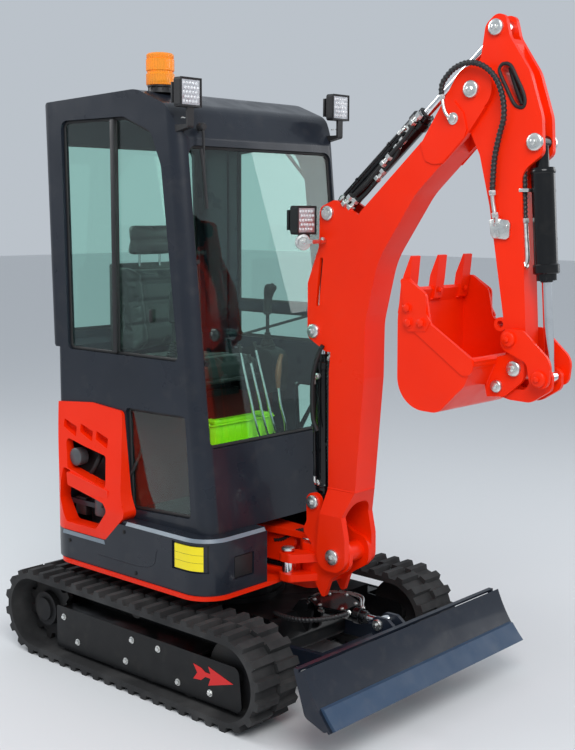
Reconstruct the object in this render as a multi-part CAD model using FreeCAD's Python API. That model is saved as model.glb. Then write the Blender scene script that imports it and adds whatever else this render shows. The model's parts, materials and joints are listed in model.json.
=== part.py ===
import FreeCAD, Part

import math
import os

V = FreeCAD.Vector

# A mini excavator on rubber tracks. Millimetres, X forward, Y left, Z up.
# The model is built about the slew axis (X = Y = 0), on its lugs' tips (Z = 0),
# and the last lines move it so that the middle of its footprint is the origin.

# Fits
RUN = 0.05            # radial clearance of a pin in its eye
SIDE = 0.3            # side clearance between plates that move past each other
SWEEP = 6.0           # gap round a panel that opens

# Tracks
TRACK_OVERALL = 1240.0
BELT_WIDTH = 230.0
BELT_LENGTH = 1507.0
BELT_HEIGHT = 340.0
BELT_THICKNESS = 22.0
LUG_HEIGHT = 20.0
LUG_FOOT = 40.0       # along the belt
LUG_TOP = 26.0
LUGS_PER_ROW = 46
SPROCKET_TEETH = 11
ROLLER_RADIUS = 38.0
ROLLER_COUNT = 4
ROLLER_SPACING = 220.0
TOP_ROLLER_RADIUS = 30.0
FRAME_PLATE = 8.0     # side frame plate thickness
FRAME_OUTER = TRACK_OVERALL / 2 - 50     # outer face of the side frame, from the middle
FRAME_INNER = FRAME_OUTER - 130
FRAME_LOW = 56.0
FRAME_TOP = 240.0

# Centre frame and slew ring
RING_OUTER = 235.0
RING_BORE = 130.0
RING_SPLIT = 380.0    # height where the turning half starts
LEG_LOW = 130.0
LEG_TOP = 290.0

# Blade, raised as it is carried
BLADE_WIDTH = TRACK_OVERALL - 2
BLADE_PLATE = 12.0
BLADE_PIVOT = (450.0, 175.0)
BLADE_ARM_Y = 200.0   # inner face of each arm
BLADE_ARM_PLATE = 25.0
BLADE_FOOT = (490.0, 322.0)
BLADE_EYE = (860.0, 330.0)

# Upper body
HOUSE_LOW = 430.0
DECK = 16.0           # deck plate thickness
DECK_EDGE = 10.0      # how far the deck stands out round the cowl
COWL_TOP = 655.0
COWL_WALL = 20.0
COWL_FRONT = 420.0
COWL_REAR = -580.0
COWL_SIDE = 535.0
NOTCH_HALF = 200.0    # half the gap in the cowl's front, for the boom's bracket
NOTCH_REAR = 300.0
LEDGE = 14.0
REAR_CHAMFER = 55.0   # how far the cowl's lower edge draws in at the rear
PLATE_POCKET = 8.0    # depth of the pockets that hold the two blank plates

# Cab
CAB_SIDE = 467.0
CAB_WALL = 40.0
CAB_FLOOR = 669.0
CAB_TOP = 2386.0
CAB_REAR = -573.0     # below the side windows
CAB_REAR_SILL = -613.0       # the overhang above them, which leans back to its top
CAB_REAR_TOP = -644.0
ROOF_SPLIT = CAB_TOP - 80
HEADER = CAB_TOP - 102       # top of the side windows and the door
GLASS = 5.0
GLASS_GAP = 0.3
SILL = 1335.0         # lower edge of the side windows
COVER_TOP = 1120.0    # top of the cover over the engine, under the seat
SEAT_TOP = 1290.0
STICKS = (-30.0, 280.0)      # X and Y of the joysticks on the consoles

# Boom swing bracket
KING = (480.0, 0.0)
KING_RADIUS = 20.0
KING_BOSS = 45.0
BRACKET_LOW = 425.0   # the boss between the two ears of the deck
BRACKET_HIGH = 600.0
EAR = 25.0            # thickness of the deck's ears
BRACKET_HALF = 70.0   # outer face of the bracket's side plates
BRACKET_PLATE = 20.0
SWING_EYE = (470.0, -130.0)
SWING_FOOT = (40.0, -150.0)
SWING_Z = 505.0

# Linkage pins in the boom's plane: X, Z
BOOM_FOOT = (675.0, 575.0)
BOOM_CYL_FOOT = (549.0, 770.0)
BOOM_CYL_EYE = (540.0, 1453.0)
ARM_CYL_FOOT = (608.0, 1910.0)
ARM_CYL_EYE = (1327.0, 2535.0)
ARM_PIVOT = (1246.0, 2334.0)
BUCKET_CYL_FOOT = (1490.0, 2148.0)
IDLER_PIVOT = (1430.0, 1487.0)
LINK_PIN = (1550.0, 1360.0)
BUCKET_LINK_PIN = (1377.0, 1318.0)
BUCKET_PIVOT = (1444.0, 1385.0)
THUMB_EYE = (1372.0, 1532.0)

# Boom, arm and bucket sections
PIN = 18.0            # pin radius of boom and arm
SMALL_PIN = 14.0      # pin radius of the bucket linkage, blade and swing cylinder
PIN_HEAD = 12.0       # length of a pin's head
BOOM_HALF = 62.0
BOOM_CHEEK = 14.0
DOUBLER = 5.0         # thickness of the plates welded on the boom's head and the bucket's sides
FORK_HALF = 98.0
ARM_HALF = 42.0
ARM_SLOT = 24.0       # half the slot for a cylinder's eye
BUCKET_HALF = 203.0
BUCKET_PLATE = 10.0
EAR_INNER = ARM_HALF + SIDE
EAR_OUTER = 58.0
IDLER_INNER = 62.0
IDLER_OUTER = 74.0
THUMB_BORE = 12.5

# Hydraulic cylinders
BARREL = 36.0
ROD = 17.5

nodes = {}


# Shapes from tables of corners

def at(axis, u, v, w):
    """A point from two coordinates in a plane and one along its axis."""
    return {"x": V(w, u, v), "y": V(u, w, v), "z": V(u, v, w)}[axis]


def outline(axis, corners, level):
    """A closed wire from corners (u, v, corner radius); a radius too large for its side shrinks."""
    count = len(corners)
    points = [V(u, v, 0) for u, v, _ in corners]
    back = [(points[i - 1] - points[i]).normalize() for i in range(count)]
    ahead = [(points[(i + 1) % count] - points[i]).normalize() for i in range(count)]
    half = [back[i].getAngle(ahead[i]) / 2 for i in range(count)]
    wanted = [corners[i][2] / math.tan(half[i]) for i in range(count)]
    reach = list(wanted)
    for i in range(count):
        j = (i + 1) % count
        share = points[i].distanceToPoint(points[j]) / max(wanted[i] + wanted[j], 1e-9)
        if share < 1:
            reach[i], reach[j] = min(reach[i], wanted[i] * share), min(reach[j], wanted[j] * share)
    edges = []
    bends = []
    for i, here in enumerate(points):
        if reach[i] > 0:
            radius = reach[i] * math.tan(half[i])
            middle = here + (back[i] + ahead[i]).normalize() * (radius / math.sin(half[i]) - radius)
            bends.append((here + back[i] * reach[i], middle, here + ahead[i] * reach[i]))
        else:
            bends.append((here, None, here))
    for i, (first, middle, last) in enumerate(bends):
        if middle:
            edges.append(Part.Arc(*[at(axis, p.x, p.y, level) for p in (first, middle, last)]).toShape())
        start = bends[(i + 1) % count][0]
        if last.distanceToPoint(start) > 1e-4:
            edges.append(Part.makeLine(at(axis, last.x, last.y, level), at(axis, start.x, start.y, level)))
    return Part.Wire(edges)


def plate(axis, corners, low, high):
    """A flat piece with the given outline, from low to high along its axis."""
    face = Part.Face(outline(axis, corners, low))
    return face.extrude(at(axis, 0, 0, high - low))


def pair(axis, corners, inner, outer):
    """Two like plates, one on each side of the middle."""
    return [plate(axis, corners, inner, outer), plate(axis, corners, -outer, -inner)]


def drum(axis, centre, low, high, radius):
    """A round bar along an axis."""
    return Part.makeCylinder(radius, high - low, at(axis, centre[0], centre[1], low), at(axis, 0, 0, 1))


def tube(axis, centre, low, high, outer, bore):
    return drum(axis, centre, low, high, outer).cut(drum(axis, centre, low, high, bore))


def box(x0, x1, y0, y1, z0, z1):
    return Part.makeBox(x1 - x0, y1 - y0, z1 - z0, V(x0, y0, z0))


def fuse(shapes):
    return shapes[0].multiFuse(shapes[1:]).removeSplitter()


def cut(shape, tools):
    for tool in tools:
        shape = shape.cut(tool)
    return shape


def mirrored(shape):
    return shape.mirror(V(0, 0, 0), V(0, 1, 0))


def both_sides(shape):
    return Part.makeCompound([shape, mirrored(shape)])


def pin_with_heads(centre, half, radius):
    """A pin across the middle, its heads outside the plates at +-half."""
    ends = half + SIDE
    return [drum("y", centre, -ends, ends, radius),
            drum("y", centre, ends, ends + PIN_HEAD, radius * 1.35),
            drum("y", centre, -ends - PIN_HEAD, -ends, radius * 1.35)]


def pin_ends(centre, inner, outer, radius):
    """The two ends of a pin, fast in the plates; what lies between them can drift free."""
    return [drum("y", centre, inner, outer + PIN_HEAD, radius * 1.35),
            drum("y", centre, -outer - PIN_HEAD, -inner, radius * 1.35)]


def aimed(shape, start, end):
    """Turn a shape built along +X from the origin so that it runs from start to end (X, Z)."""
    angle = math.degrees(math.atan2(end[1] - start[1], end[0] - start[0]))
    shape.rotate(V(0, 0, 0), V(0, 1, 0), -angle)
    shape.translate(V(start[0], 0, start[1]))
    return shape


def cylinder_pair(start, end, neck, barrel_length, sunk, barrel, rod, foot_half, eye_half, pin):
    """A barrel with its foot's eye at start, and a rod, sunk into it, with its own eye at end."""
    length = math.hypot(end[0] - start[0], end[1] - start[1])
    foot = 1.75 * pin
    bore = drum("x", (0, 0), neck + 14, length, rod + RUN)
    body = fuse([drum("x", (0, 0), neck, barrel_length, barrel),
                 drum("x", (0, 0), 0, neck, min(foot, foot_half) * 0.94),
                 drum("x", (0, 0), barrel_length, barrel_length + 22, barrel * 0.86),
                 drum("y", (0, 0), -foot_half, foot_half, foot)])
    body = cut(body, [drum("y", (0, 0), -foot_half, foot_half, pin + RUN), bore])
    stem = drum("x", (0, 0), barrel_length - sunk, length - foot * 0.5, rod)
    eye = drum("y", (length, 0), -eye_half, eye_half, foot)
    stem = fuse([stem, eye])
    return aimed(body, start, end), aimed(stem, start, end)


# Tracks: a loop of carcass with a row of lugs at each edge, half a pitch apart

belt_radius = BELT_HEIGHT / 2
wheel_x = BELT_LENGTH / 2 - belt_radius
wheel_z = LUG_HEIGHT + belt_radius
belt_inner = belt_radius - BELT_THICKNESS
track_outer = TRACK_OVERALL / 2
track_inner = track_outer - BELT_WIDTH
track_middle = track_outer - BELT_WIDTH / 2


def loop_point(travel, height):
    """A point on the belt's loop: travel along the carcass, height above it."""
    straight = 2 * wheel_x
    half_turn = math.pi * belt_radius
    travel %= 2 * (straight + half_turn)
    reach = belt_radius + height
    if travel < straight:
        return (-wheel_x + travel, wheel_z + reach, 0)
    travel -= straight
    if travel < half_turn:
        angle = math.pi / 2 - travel / belt_radius
        return (wheel_x + reach * math.cos(angle), wheel_z + reach * math.sin(angle), 0)
    travel -= half_turn
    if travel < straight:
        return (wheel_x - travel, wheel_z - reach, 0)
    angle = -math.pi / 2 - (travel - straight) / belt_radius
    return (-wheel_x + reach * math.cos(angle), wheel_z + reach * math.sin(angle), 0)


def lug_row(phase, inner, outer):
    pitch = (4 * wheel_x + 2 * math.pi * belt_radius) / LUGS_PER_ROW
    corners = []
    for i in range(LUGS_PER_ROW):
        middle = (i + phase) * pitch
        for offset, height in ((-LUG_FOOT / 2, 0), (-LUG_TOP / 2, LUG_HEIGHT),
                               (LUG_TOP / 2, LUG_HEIGHT), (LUG_FOOT / 2, 0)):
            corners.append(loop_point(middle + offset, height))
    return plate("y", corners, inner, outer)


def stadium(radius):
    """Corners of a loop round both end wheels."""
    return [(side * (wheel_x + radius), wheel_z + rise * radius, radius)
            for side, rise in ((-1, -1), (1, -1), (1, 1), (-1, 1))]


def track():
    belt = fuse([lug_row(0.0, track_middle, track_outer), lug_row(0.5, track_inner, track_middle)])
    return belt.cut(plate("y", stadium(belt_inner), track_inner, track_outer))


left_track = track()
nodes["track_left"] = left_track
nodes["track_right"] = mirrored(left_track)


# Running gear inside each track

def sprocket():
    corners = []
    step = 2 * math.pi / SPROCKET_TEETH
    for i in range(SPROCKET_TEETH):
        for share, radius in ((-0.32, belt_inner * 0.80), (-0.14, belt_inner - SIDE),
                              (0.14, belt_inner - SIDE), (0.32, belt_inner * 0.80)):
            angle = (i + share) * step
            corners.append((-wheel_x + radius * math.cos(angle), wheel_z + radius * math.sin(angle), 0))
    wheel = plate("y", corners, track_middle - 12, track_middle + 12)
    hub = drum("y", (-wheel_x, wheel_z), FRAME_INNER + FRAME_PLATE, track_middle + 40, 74)
    return fuse([wheel, hub, drum("y", (-wheel_x, wheel_z), track_middle + 40, track_middle + 52, 50)])


def running_wheels():
    inner = FRAME_INNER + FRAME_PLATE
    outer = FRAME_OUTER - FRAME_PLATE
    wheels = []
    idler_radius = belt_inner - SIDE
    idler = fuse([drum("y", (wheel_x, wheel_z), track_middle - 32, track_middle + 32, idler_radius),
                  drum("y", (wheel_x, wheel_z), inner, outer, 34)])
    groove = tube("y", (wheel_x, wheel_z), track_middle - 13, track_middle + 13,
                  idler_radius + 1, idler_radius - 16)
    wheels.append(idler.cut(groove))
    roller_z = LUG_HEIGHT + BELT_THICKNESS + ROLLER_RADIUS + SIDE
    for i in range(ROLLER_COUNT):
        x = (i - (ROLLER_COUNT - 1) / 2) * ROLLER_SPACING
        wheels.append(fuse([drum("y", (x, roller_z), track_middle - 44, track_middle + 44, ROLLER_RADIUS),
                            drum("y", (x, roller_z), inner, outer, 14)]))
    top_z = wheel_z + belt_inner - TOP_ROLLER_RADIUS - SIDE
    wheels.append(fuse([drum("y", (0, top_z), track_middle - 24, track_middle + 24, TOP_ROLLER_RADIUS),
                        drum("y", (0, top_z), inner, track_middle, 12)]))
    return wheels


def side_frame():
    """Two flanges with a top web between them; the inner flange reaches back to the sprocket's hub."""
    outer_flange = plate("y", [(-470, FRAME_LOW, 12), (640, FRAME_LOW + 10, 30), (622, FRAME_TOP, 30),
                               (-470, FRAME_TOP, 12)], FRAME_OUTER - FRAME_PLATE, FRAME_OUTER)
    inner_flange = plate("y", [(-wheel_x - 92, wheel_z - 92, 90), (-430, FRAME_LOW, 40),
                               (620, FRAME_LOW + 10, 30), (610, FRAME_TOP, 30), (-430, FRAME_TOP + 44, 40),
                               (-wheel_x - 92, wheel_z + 92, 90)], FRAME_INNER, FRAME_INNER + FRAME_PLATE)
    post = plate("y", [(-45, FRAME_TOP - 20, 0), (45, FRAME_TOP - 20, 0), (22, FRAME_TOP + 84, 14),
                       (-22, FRAME_TOP + 84, 14)], FRAME_INNER, FRAME_INNER + FRAME_PLATE)
    web = box(-440, 400, FRAME_INNER, FRAME_OUTER, FRAME_TOP - 14, FRAME_TOP - 4)
    mid_web = box(-440, 400, FRAME_INNER, FRAME_OUTER, FRAME_TOP - 110, FRAME_TOP - 100)
    return fuse([outer_flange, inner_flange, post, web, mid_web])


nodes["track_frames"] = both_sides(side_frame())
nodes["sprockets"] = both_sides(sprocket())
left_wheels = running_wheels()
nodes["idlers_and_rollers"] = Part.makeCompound(left_wheels + [mirrored(wheel) for wheel in left_wheels])


# Centre frame: a ring carried by four legs, and the box that holds the blade

def centre_frame():
    hub = drum("z", (0, 0), LEG_LOW + 30, LEG_TOP + 20, RING_OUTER + 15)
    parts = [hub, drum("z", (0, 0), LEG_TOP, RING_SPLIT - SIDE, RING_OUTER)]
    for side_x in (1, -1):
        for side_y in (1, -1):
            leg = [(side_x * u, side_y * v, 0) for u, v in
                   ((150, 140), (230, 40), (430, FRAME_INNER - 110), (430, FRAME_INNER), (250, FRAME_INNER),
                    (250, FRAME_INNER - 110))]
            parts.append(plate("z", leg, LEG_LOW, LEG_TOP))
    nose = plate("y", [(180, LEG_LOW, 0), (430, LEG_LOW - 5, 0), (500, 150, 25), (500, 205, 25),
                       (430, 288, 20), (180, LEG_TOP, 0)], -BLADE_ARM_Y + SIDE, BLADE_ARM_Y - SIDE)
    foot_ear = [(400, 270, 0), (500, 200, 20), (BLADE_FOOT[0] + 30, BLADE_FOOT[1] - 10, 26),
                (BLADE_FOOT[0] + 4, BLADE_FOOT[1] + 30, 26), (BLADE_FOOT[0] - 40, BLADE_FOOT[1] + 16, 20)]
    parts += [nose] + pair("y", foot_ear, 24 + SIDE, 40)
    frame = fuse(parts)
    frame = frame.cut(drum("z", (0, 0), LEG_LOW, RING_SPLIT, RING_BORE))
    pins = [drum("y", BLADE_PIVOT, -BLADE_ARM_Y - BLADE_ARM_PLATE - SIDE, BLADE_ARM_Y + BLADE_ARM_PLATE + SIDE,
                 SMALL_PIN)]
    for sign in (1, -1):
        head = BLADE_ARM_Y + BLADE_ARM_PLATE + SIDE
        low, high = sorted((sign * head, sign * (head + PIN_HEAD)))
        pins.append(drum("y", BLADE_PIVOT, low, high, SMALL_PIN * 1.5))
    pins += pin_with_heads(BLADE_FOOT, 40 - SIDE, SMALL_PIN)
    return fuse([frame] + pins)


nodes["centre_frame"] = centre_frame()


# Blade: a curved plate between end plates, on two arms

BLADE_TOP = (985.0, 346.0)
BLADE_TOE = (1109.0, 152.0)


def blade_section(front_x, thickness):
    """The mouldboard's curve, its top and its toe, as a closed outline of two arcs."""
    hollow = 12.0
    run_x, run_z = BLADE_TOE[0] - BLADE_TOP[0], BLADE_TOE[1] - BLADE_TOP[1]
    length = math.hypot(run_x, run_z)
    away = (run_z / length, -run_x / length)
    faces = []
    for depth in (0.0, thickness):
        top = V(BLADE_TOP[0] + front_x + away[0] * depth, 0, BLADE_TOP[1] + away[1] * depth)
        toe = V(BLADE_TOE[0] + front_x + away[0] * depth, 0, BLADE_TOE[1] + away[1] * depth)
        middle = (top + toe) * 0.5 + V(away[0] * hollow, 0, away[1] * hollow)
        faces.append((top, middle, toe))
    front, back = faces
    return Part.Wire([Part.Arc(*front).toShape(), Part.makeLine(front[2], back[2]),
                      Part.Arc(back[2], back[1], back[0]).toShape(), Part.makeLine(back[0], front[0])])


def blade():
    half = BLADE_WIDTH / 2
    board = Part.Face(blade_section(0.0, BLADE_PLATE)).extrude(V(0, BLADE_WIDTH, 0))
    board.translate(V(0, -half, 0))
    end = [(936, 340, 6), (980, 345, 0), (1005, 290, 0), (1100, 156, 0), (1078, 146, 8), (990, 176, 30)]
    ends = pair("y", end, half - BLADE_PLATE, half)
    lip = box(940, 982, -half, half, 334, 342)
    arm = [(BLADE_PIVOT[0] - 32, BLADE_PIVOT[1] + 32, 31), (BLADE_PIVOT[0] - 32, BLADE_PIVOT[1] - 32, 31),
           (760, 150, 0), (1100, 170, 0), (1100, 230, 0), (1000, 300, 0), (940, 300, 0), (760, 226, 0)]
    arms = pair("y", arm, BLADE_ARM_Y, BLADE_ARM_Y + BLADE_ARM_PLATE)
    tie = box(700, 740, -BLADE_ARM_Y, BLADE_ARM_Y, 165, 215)
    ear = [(BLADE_EYE[0] - 34, BLADE_EYE[1] + 28, 26), (BLADE_EYE[0] - 30, BLADE_EYE[1] - 40, 20),
           (900, 180, 0), (1100, 190, 0), (1000, 320, 0), (940, 332, 0), (900, BLADE_EYE[1] + 30, 20)]
    ears = pair("y", ear, 24 + SIDE, 40)
    shell = fuse([board, lip] + ends + arms + [tie] + ears)
    clear = Part.Face(blade_section(0.0, 400.0)).extrude(V(0, BLADE_WIDTH * 1.2, 0))
    clear.translate(V(0, -half * 1.2, 0))
    shell = shell.common(clear.fuse(box(300, 960, -half * 1.2, half * 1.2, 0, 400)))
    holes = [drum("y", BLADE_PIVOT, -half, half, SMALL_PIN + RUN)]
    return fuse([cut(shell, holes)] + pin_ends(BLADE_EYE, 24 + SIDE, 40, SMALL_PIN))


def blade_edge():
    """The wear strip on the front of the blade, along its toe."""
    half = BLADE_WIDTH / 2
    strip = Part.Face(blade_section(0.0, -14.0)).extrude(V(0, BLADE_WIDTH - 2 * BLADE_PLATE, 0))
    strip.translate(V(0, -half + BLADE_PLATE, 0))
    return strip.common(box(900, 1300, -half, half, 100, 222))


nodes["blade"] = blade()
nodes["blade_edge"] = blade_edge()

barrel, rod = cylinder_pair(BLADE_FOOT, BLADE_EYE, 46, 262, 120, 28, 14, 24, 24, SMALL_PIN)
guard = plate("z", [(520, -60, 20), (590, -100, 20), (712, -80, 20), (712, 40, 20), (590, 100, 20),
                    (520, 60, 20)], BLADE_FOOT[1] + 34, BLADE_FOOT[1] + 40)
saddle = box(560, 660, -20, 20, BLADE_FOOT[1] + 20, BLADE_FOOT[1] + 35)
saddle = saddle.cut(aimed(drum("x", (0, 0), 0, 400, 28 - 1), BLADE_FOOT, BLADE_EYE))
nodes["blade_cylinder_barrel"] = fuse([barrel, saddle, guard])
nodes["blade_cylinder_rod"] = rod


# Deck: the plate under the upper body, its turning ring half, and the ears for the swing bracket

def deck():
    side, front, rear = COWL_SIDE + DECK_EDGE, COWL_FRONT + DECK_EDGE, COWL_REAR + REAR_CHAMFER
    rim = [(rear, side, 110), (rear, -side, 110), (front, -side, 130), (front, -NOTCH_HALF, 20),
           (COWL_FRONT, -KING_BOSS, 0), (COWL_FRONT, KING_BOSS, 0), (front, NOTCH_HALF, 20), (front, side, 130)]
    plate_z = HOUSE_LOW + DECK
    parts = [plate("z", rim, HOUSE_LOW, plate_z), drum("z", (0, 0), RING_SPLIT, HOUSE_LOW, RING_OUTER)]
    ear = [(150, -KING_BOSS * 1.6, 0), (KING[0] - 60, -KING_BOSS, 0), (KING[0] + KING_BOSS, -KING_BOSS, KING_BOSS - 1),
           (KING[0] + KING_BOSS, KING_BOSS, KING_BOSS - 1), (KING[0] - 60, KING_BOSS, 0), (150, KING_BOSS * 1.6, 0)]
    for low in (BRACKET_LOW - SIDE - EAR, BRACKET_HIGH + SIDE):
        parts.append(plate("z", ear, low, low + EAR))
    lower_ear = BRACKET_LOW - SIDE
    rib = plate("y", [(120, lower_ear - 5, 0), (KING[0] - KING_BOSS - 25, lower_ear - 5, 0),
                      (KING[0] - KING_BOSS - 25, 470, 20), (KING[0] - 90, 520, 20),
                      (KING[0] - KING_BOSS - 20, 560, 20), (KING[0] - KING_BOSS - 20, BRACKET_HIGH + SIDE + 5, 0),
                      (200, BRACKET_HIGH + SIDE + 5, 0)], 14, 30)
    parts += [rib, mirrored(rib)]
    parts.append(drum("z", SWING_FOOT, plate_z - 2, SWING_Z - 24 - SIDE, 24))
    frame = fuse(parts)
    king = drum("z", KING, lower_ear - EAR, BRACKET_HIGH + EAR + SIDE + PIN_HEAD, KING_RADIUS)
    cap = drum("z", KING, BRACKET_HIGH + EAR + SIDE, BRACKET_HIGH + EAR + SIDE + PIN_HEAD, KING_RADIUS * 1.4)
    foot_pin = drum("z", SWING_FOOT, SWING_Z - 30, SWING_Z + 34, SMALL_PIN)
    frame = frame.cut(drum("z", (0, 0), RING_SPLIT, plate_z, RING_BORE))
    return fuse([frame, king, cap, foot_pin])


nodes["deck"] = deck()


# Cowl: the dark skirt round the upper body, open at the front for the bracket

def cowl_plan(inset, corner):
    front, rear, side = COWL_FRONT - inset, COWL_REAR + inset, COWL_SIDE - inset
    return [(rear, side, corner + 30 - inset), (rear, -side, corner + 30 - inset),
            (front, -side, corner - inset), (front, side, corner - inset)]


def side_panel_corners(grow):
    """Outline of the engine's side panel, X and Z, grown outward by a gap."""
    return [(-600, 571 - grow, 0), (-181, 571 - grow, 30), (-57 + grow, 690, 30), (-90 + grow, 760, 200),
            (-128 + grow, 1106 + grow, 22), (-330, 1122 + grow, 0), (-600, 1100 + grow, 0)]


def cowl():
    low = HOUSE_LOW + DECK
    outer = plate("z", cowl_plan(0, 120), low, COWL_TOP)
    inner = plate("z", cowl_plan(COWL_WALL, 120), low, COWL_TOP)
    ledge = plate("z", cowl_plan(12, 120), COWL_TOP, COWL_TOP + LEDGE)
    hollow = box(COWL_REAR + 40, COWL_FRONT - 110, -CAB_SIDE + 30, CAB_SIDE - 30, COWL_TOP - 1, COWL_TOP + LEDGE)
    notch = box(NOTCH_REAR, COWL_FRONT + 50, -NOTCH_HALF, NOTCH_HALF, HOUSE_LOW, COWL_TOP + LEDGE)
    skirt = cut(fuse([outer.cut(inner), ledge.cut(hollow)]), [notch])
    cheeks = pair("y", [(NOTCH_REAR, low, 0), (COWL_FRONT, low, 0), (COWL_FRONT, COWL_TOP, 0),
                        (NOTCH_REAR, COWL_TOP, 0)], NOTCH_HALF, NOTCH_HALF + COWL_WALL)
    skirt = fuse([skirt] + cheeks)
    gap = plate("y", side_panel_corners(GLASS_GAP), -COWL_SIDE - 20, -CAB_SIDE + 40)
    wedge = plate("y", [(COWL_REAR, 400, 0), (COWL_REAR + REAR_CHAMFER, 400, 0), (COWL_REAR + REAR_CHAMFER, low, 0),
                        (COWL_REAR, low + 75, 0)], -COWL_SIDE, COWL_SIDE)
    depth = cowl_plan(PLATE_POCKET, 120)
    pockets = []
    for side_box in PLATE_POCKETS:
        pockets.append(plate("z", cowl_plan(-5, 120), *side_box[4:]).cut(plate("z", depth, *side_box[4:])).common(
            box(*side_box)))
    return cut(skirt, [gap, mirrored(gap), wedge] + pockets)


# The yellow plate's pocket on the corner and the black plate's at the front, as x, y and z ranges
PLATE_POCKETS = [(225, COWL_FRONT, -COWL_SIDE - 5, -493, 536, 648),
                 (COWL_FRONT - 40, COWL_FRONT + 5, -386, -276, 496, 588)]

nodes["cowl"] = cowl()


# Cab: a shell whose side view and plan are cut to the windows and the door

CAB_PROFILE = [(CAB_REAR, CAB_FLOOR, 0), (CAB_REAR, SILL + 5, 0), (CAB_REAR_SILL, SILL + 26, 0),
               (CAB_REAR_TOP, CAB_TOP - 24, 55), (-33, CAB_TOP, 160), (140, CAB_TOP - 68, 90),
               (206, CAB_TOP - 189, 40), (358, CAB_FLOOR, 0)]
SIDE_WINDOW = [(-508, HEADER, 34), (-488, SILL, 25), (196, SILL, 25), (108, HEADER - 195, 90),
               (48, HEADER - 62, 60), (-110, HEADER, 60)]
LOWER_WINDOW = [(-120, SILL - 212, 20), (-103, 705, 20), (262, 722, 20), (232, SILL - 209, 20)]
DOOR_OPENING = [(-430, SILL - 60, 60), (-430, HEADER - 10, 40), (-100, HEADER - 10, 60), (40, HEADER - 67, 60),
                (102, HEADER - 190, 60), (196, SILL, 0), (262, 712, 30), (-40, 712, 30), (-85, SILL - 155, 80),
                (-160, SILL - 60, 40)]
DOOR_WINDOW = [(-372, SILL, 30), (-372, HEADER - 68, 40), (-110, HEADER - 68, 60), (0, HEADER - 128, 60),
               (50, HEADER - 228, 60), (134, SILL, 30)]
DOOR_LOW_WINDOW = [(4, CAB_FLOOR + 234, 20), (-14, SILL - 185, 20), (140, SILL - 185, 20),
                   (170, CAB_FLOOR + 234, 20)]
BONNET = (400.0, 712.0, 1230.0)       # half width, bottom, top
HINGE = (-450.0, CAB_SIDE + 11.0)     # the door's, X and Y
BONNET_HINGE = (CAB_REAR - 13, BONNET[2] + 14.0)
HINGE_LEVELS = (SILL + 85, HEADER - 160)
DOOR_BAR = (SILL + 127, SILL + 165)   # the bar across the door's window


def inset_plate(axis, corners, low, high, gap):
    """A plate whose outline lies inside the given one by a gap."""
    face = Part.Face(outline(axis, corners, low)).makeOffset2D(-gap, 2)
    return face.extrude(at(axis, 0, 0, high - low))


def upright(corners, foot, top):
    """A column of the given plan whose axis leans from foot to top (X, Z), long enough for the whole cab."""
    reach = CAB_TOP
    column = plate("z", [(x - foot[0], y, radius) for x, y, radius in corners], -reach, reach)
    column.rotate(V(0, 0, 0), V(0, 1, 0), math.degrees(math.atan2(top[0] - foot[0], top[1] - foot[1])))
    column.translate(V(foot[0], 0, foot[1]))
    return column


def cab_shell():
    outer = plate("y", CAB_PROFILE, -CAB_SIDE, CAB_SIDE)
    rear = upright([(CAB_REAR_SILL, CAB_SIDE, 50), (CAB_REAR_SILL, -CAB_SIDE, 50), (900, -CAB_SIDE, 0),
                    (900, CAB_SIDE, 0)], (CAB_REAR_SILL, SILL), (CAB_REAR_TOP, CAB_TOP))
    front = upright([(-900, CAB_SIDE, 0), (-900, -CAB_SIDE, 0), (358, -CAB_SIDE, 60), (358, CAB_SIDE, 60)],
                    (358, CAB_FLOOR), (206, CAB_TOP - 189))
    low = plate("z", [(CAB_REAR, CAB_SIDE, 40), (CAB_REAR, -CAB_SIDE, 40), (900, -CAB_SIDE, 0), (900, CAB_SIDE, 0)],
                CAB_FLOOR, SILL + 5)
    low = low.fuse(box(-900, 900, -CAB_SIDE, CAB_SIDE, SILL + 5, CAB_TOP))
    outer = outer.common(rear).common(front).common(low)
    wall = CAB_WALL
    inner = plate("y", [(CAB_REAR + wall, CAB_FLOOR, 0), (CAB_REAR + wall, SILL + 5, 0),
                        (CAB_REAR_SILL + wall, SILL + 30, 0), (CAB_REAR_TOP + wall, CAB_TOP - 24 - wall, 20),
                        (-36, CAB_TOP - wall, 140), (122, CAB_TOP - 68 - wall, 60),
                        (206 - wall, CAB_TOP - 196 - wall, 30), (358 - wall, CAB_FLOOR, 0)],
                  -CAB_SIDE + wall, CAB_SIDE - wall)
    return outer.cut(inner)


def windscreen_outline():
    """Y and Z corners of the opening in the front wall."""
    return [(-CAB_SIDE + 48, 1000, 30), (CAB_SIDE - 48, 1000, 30), (CAB_SIDE - 48, HEADER - 119, 40),
            (-CAB_SIDE + 48, HEADER - 119, 40)]


REAR_WINDOW = [(-CAB_SIDE + 70, SILL + 60, 30), (CAB_SIDE - 70, SILL + 60, 30), (CAB_SIDE - 70, HEADER - 84, 40),
               (-CAB_SIDE + 70, HEADER - 84, 40)]


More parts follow.
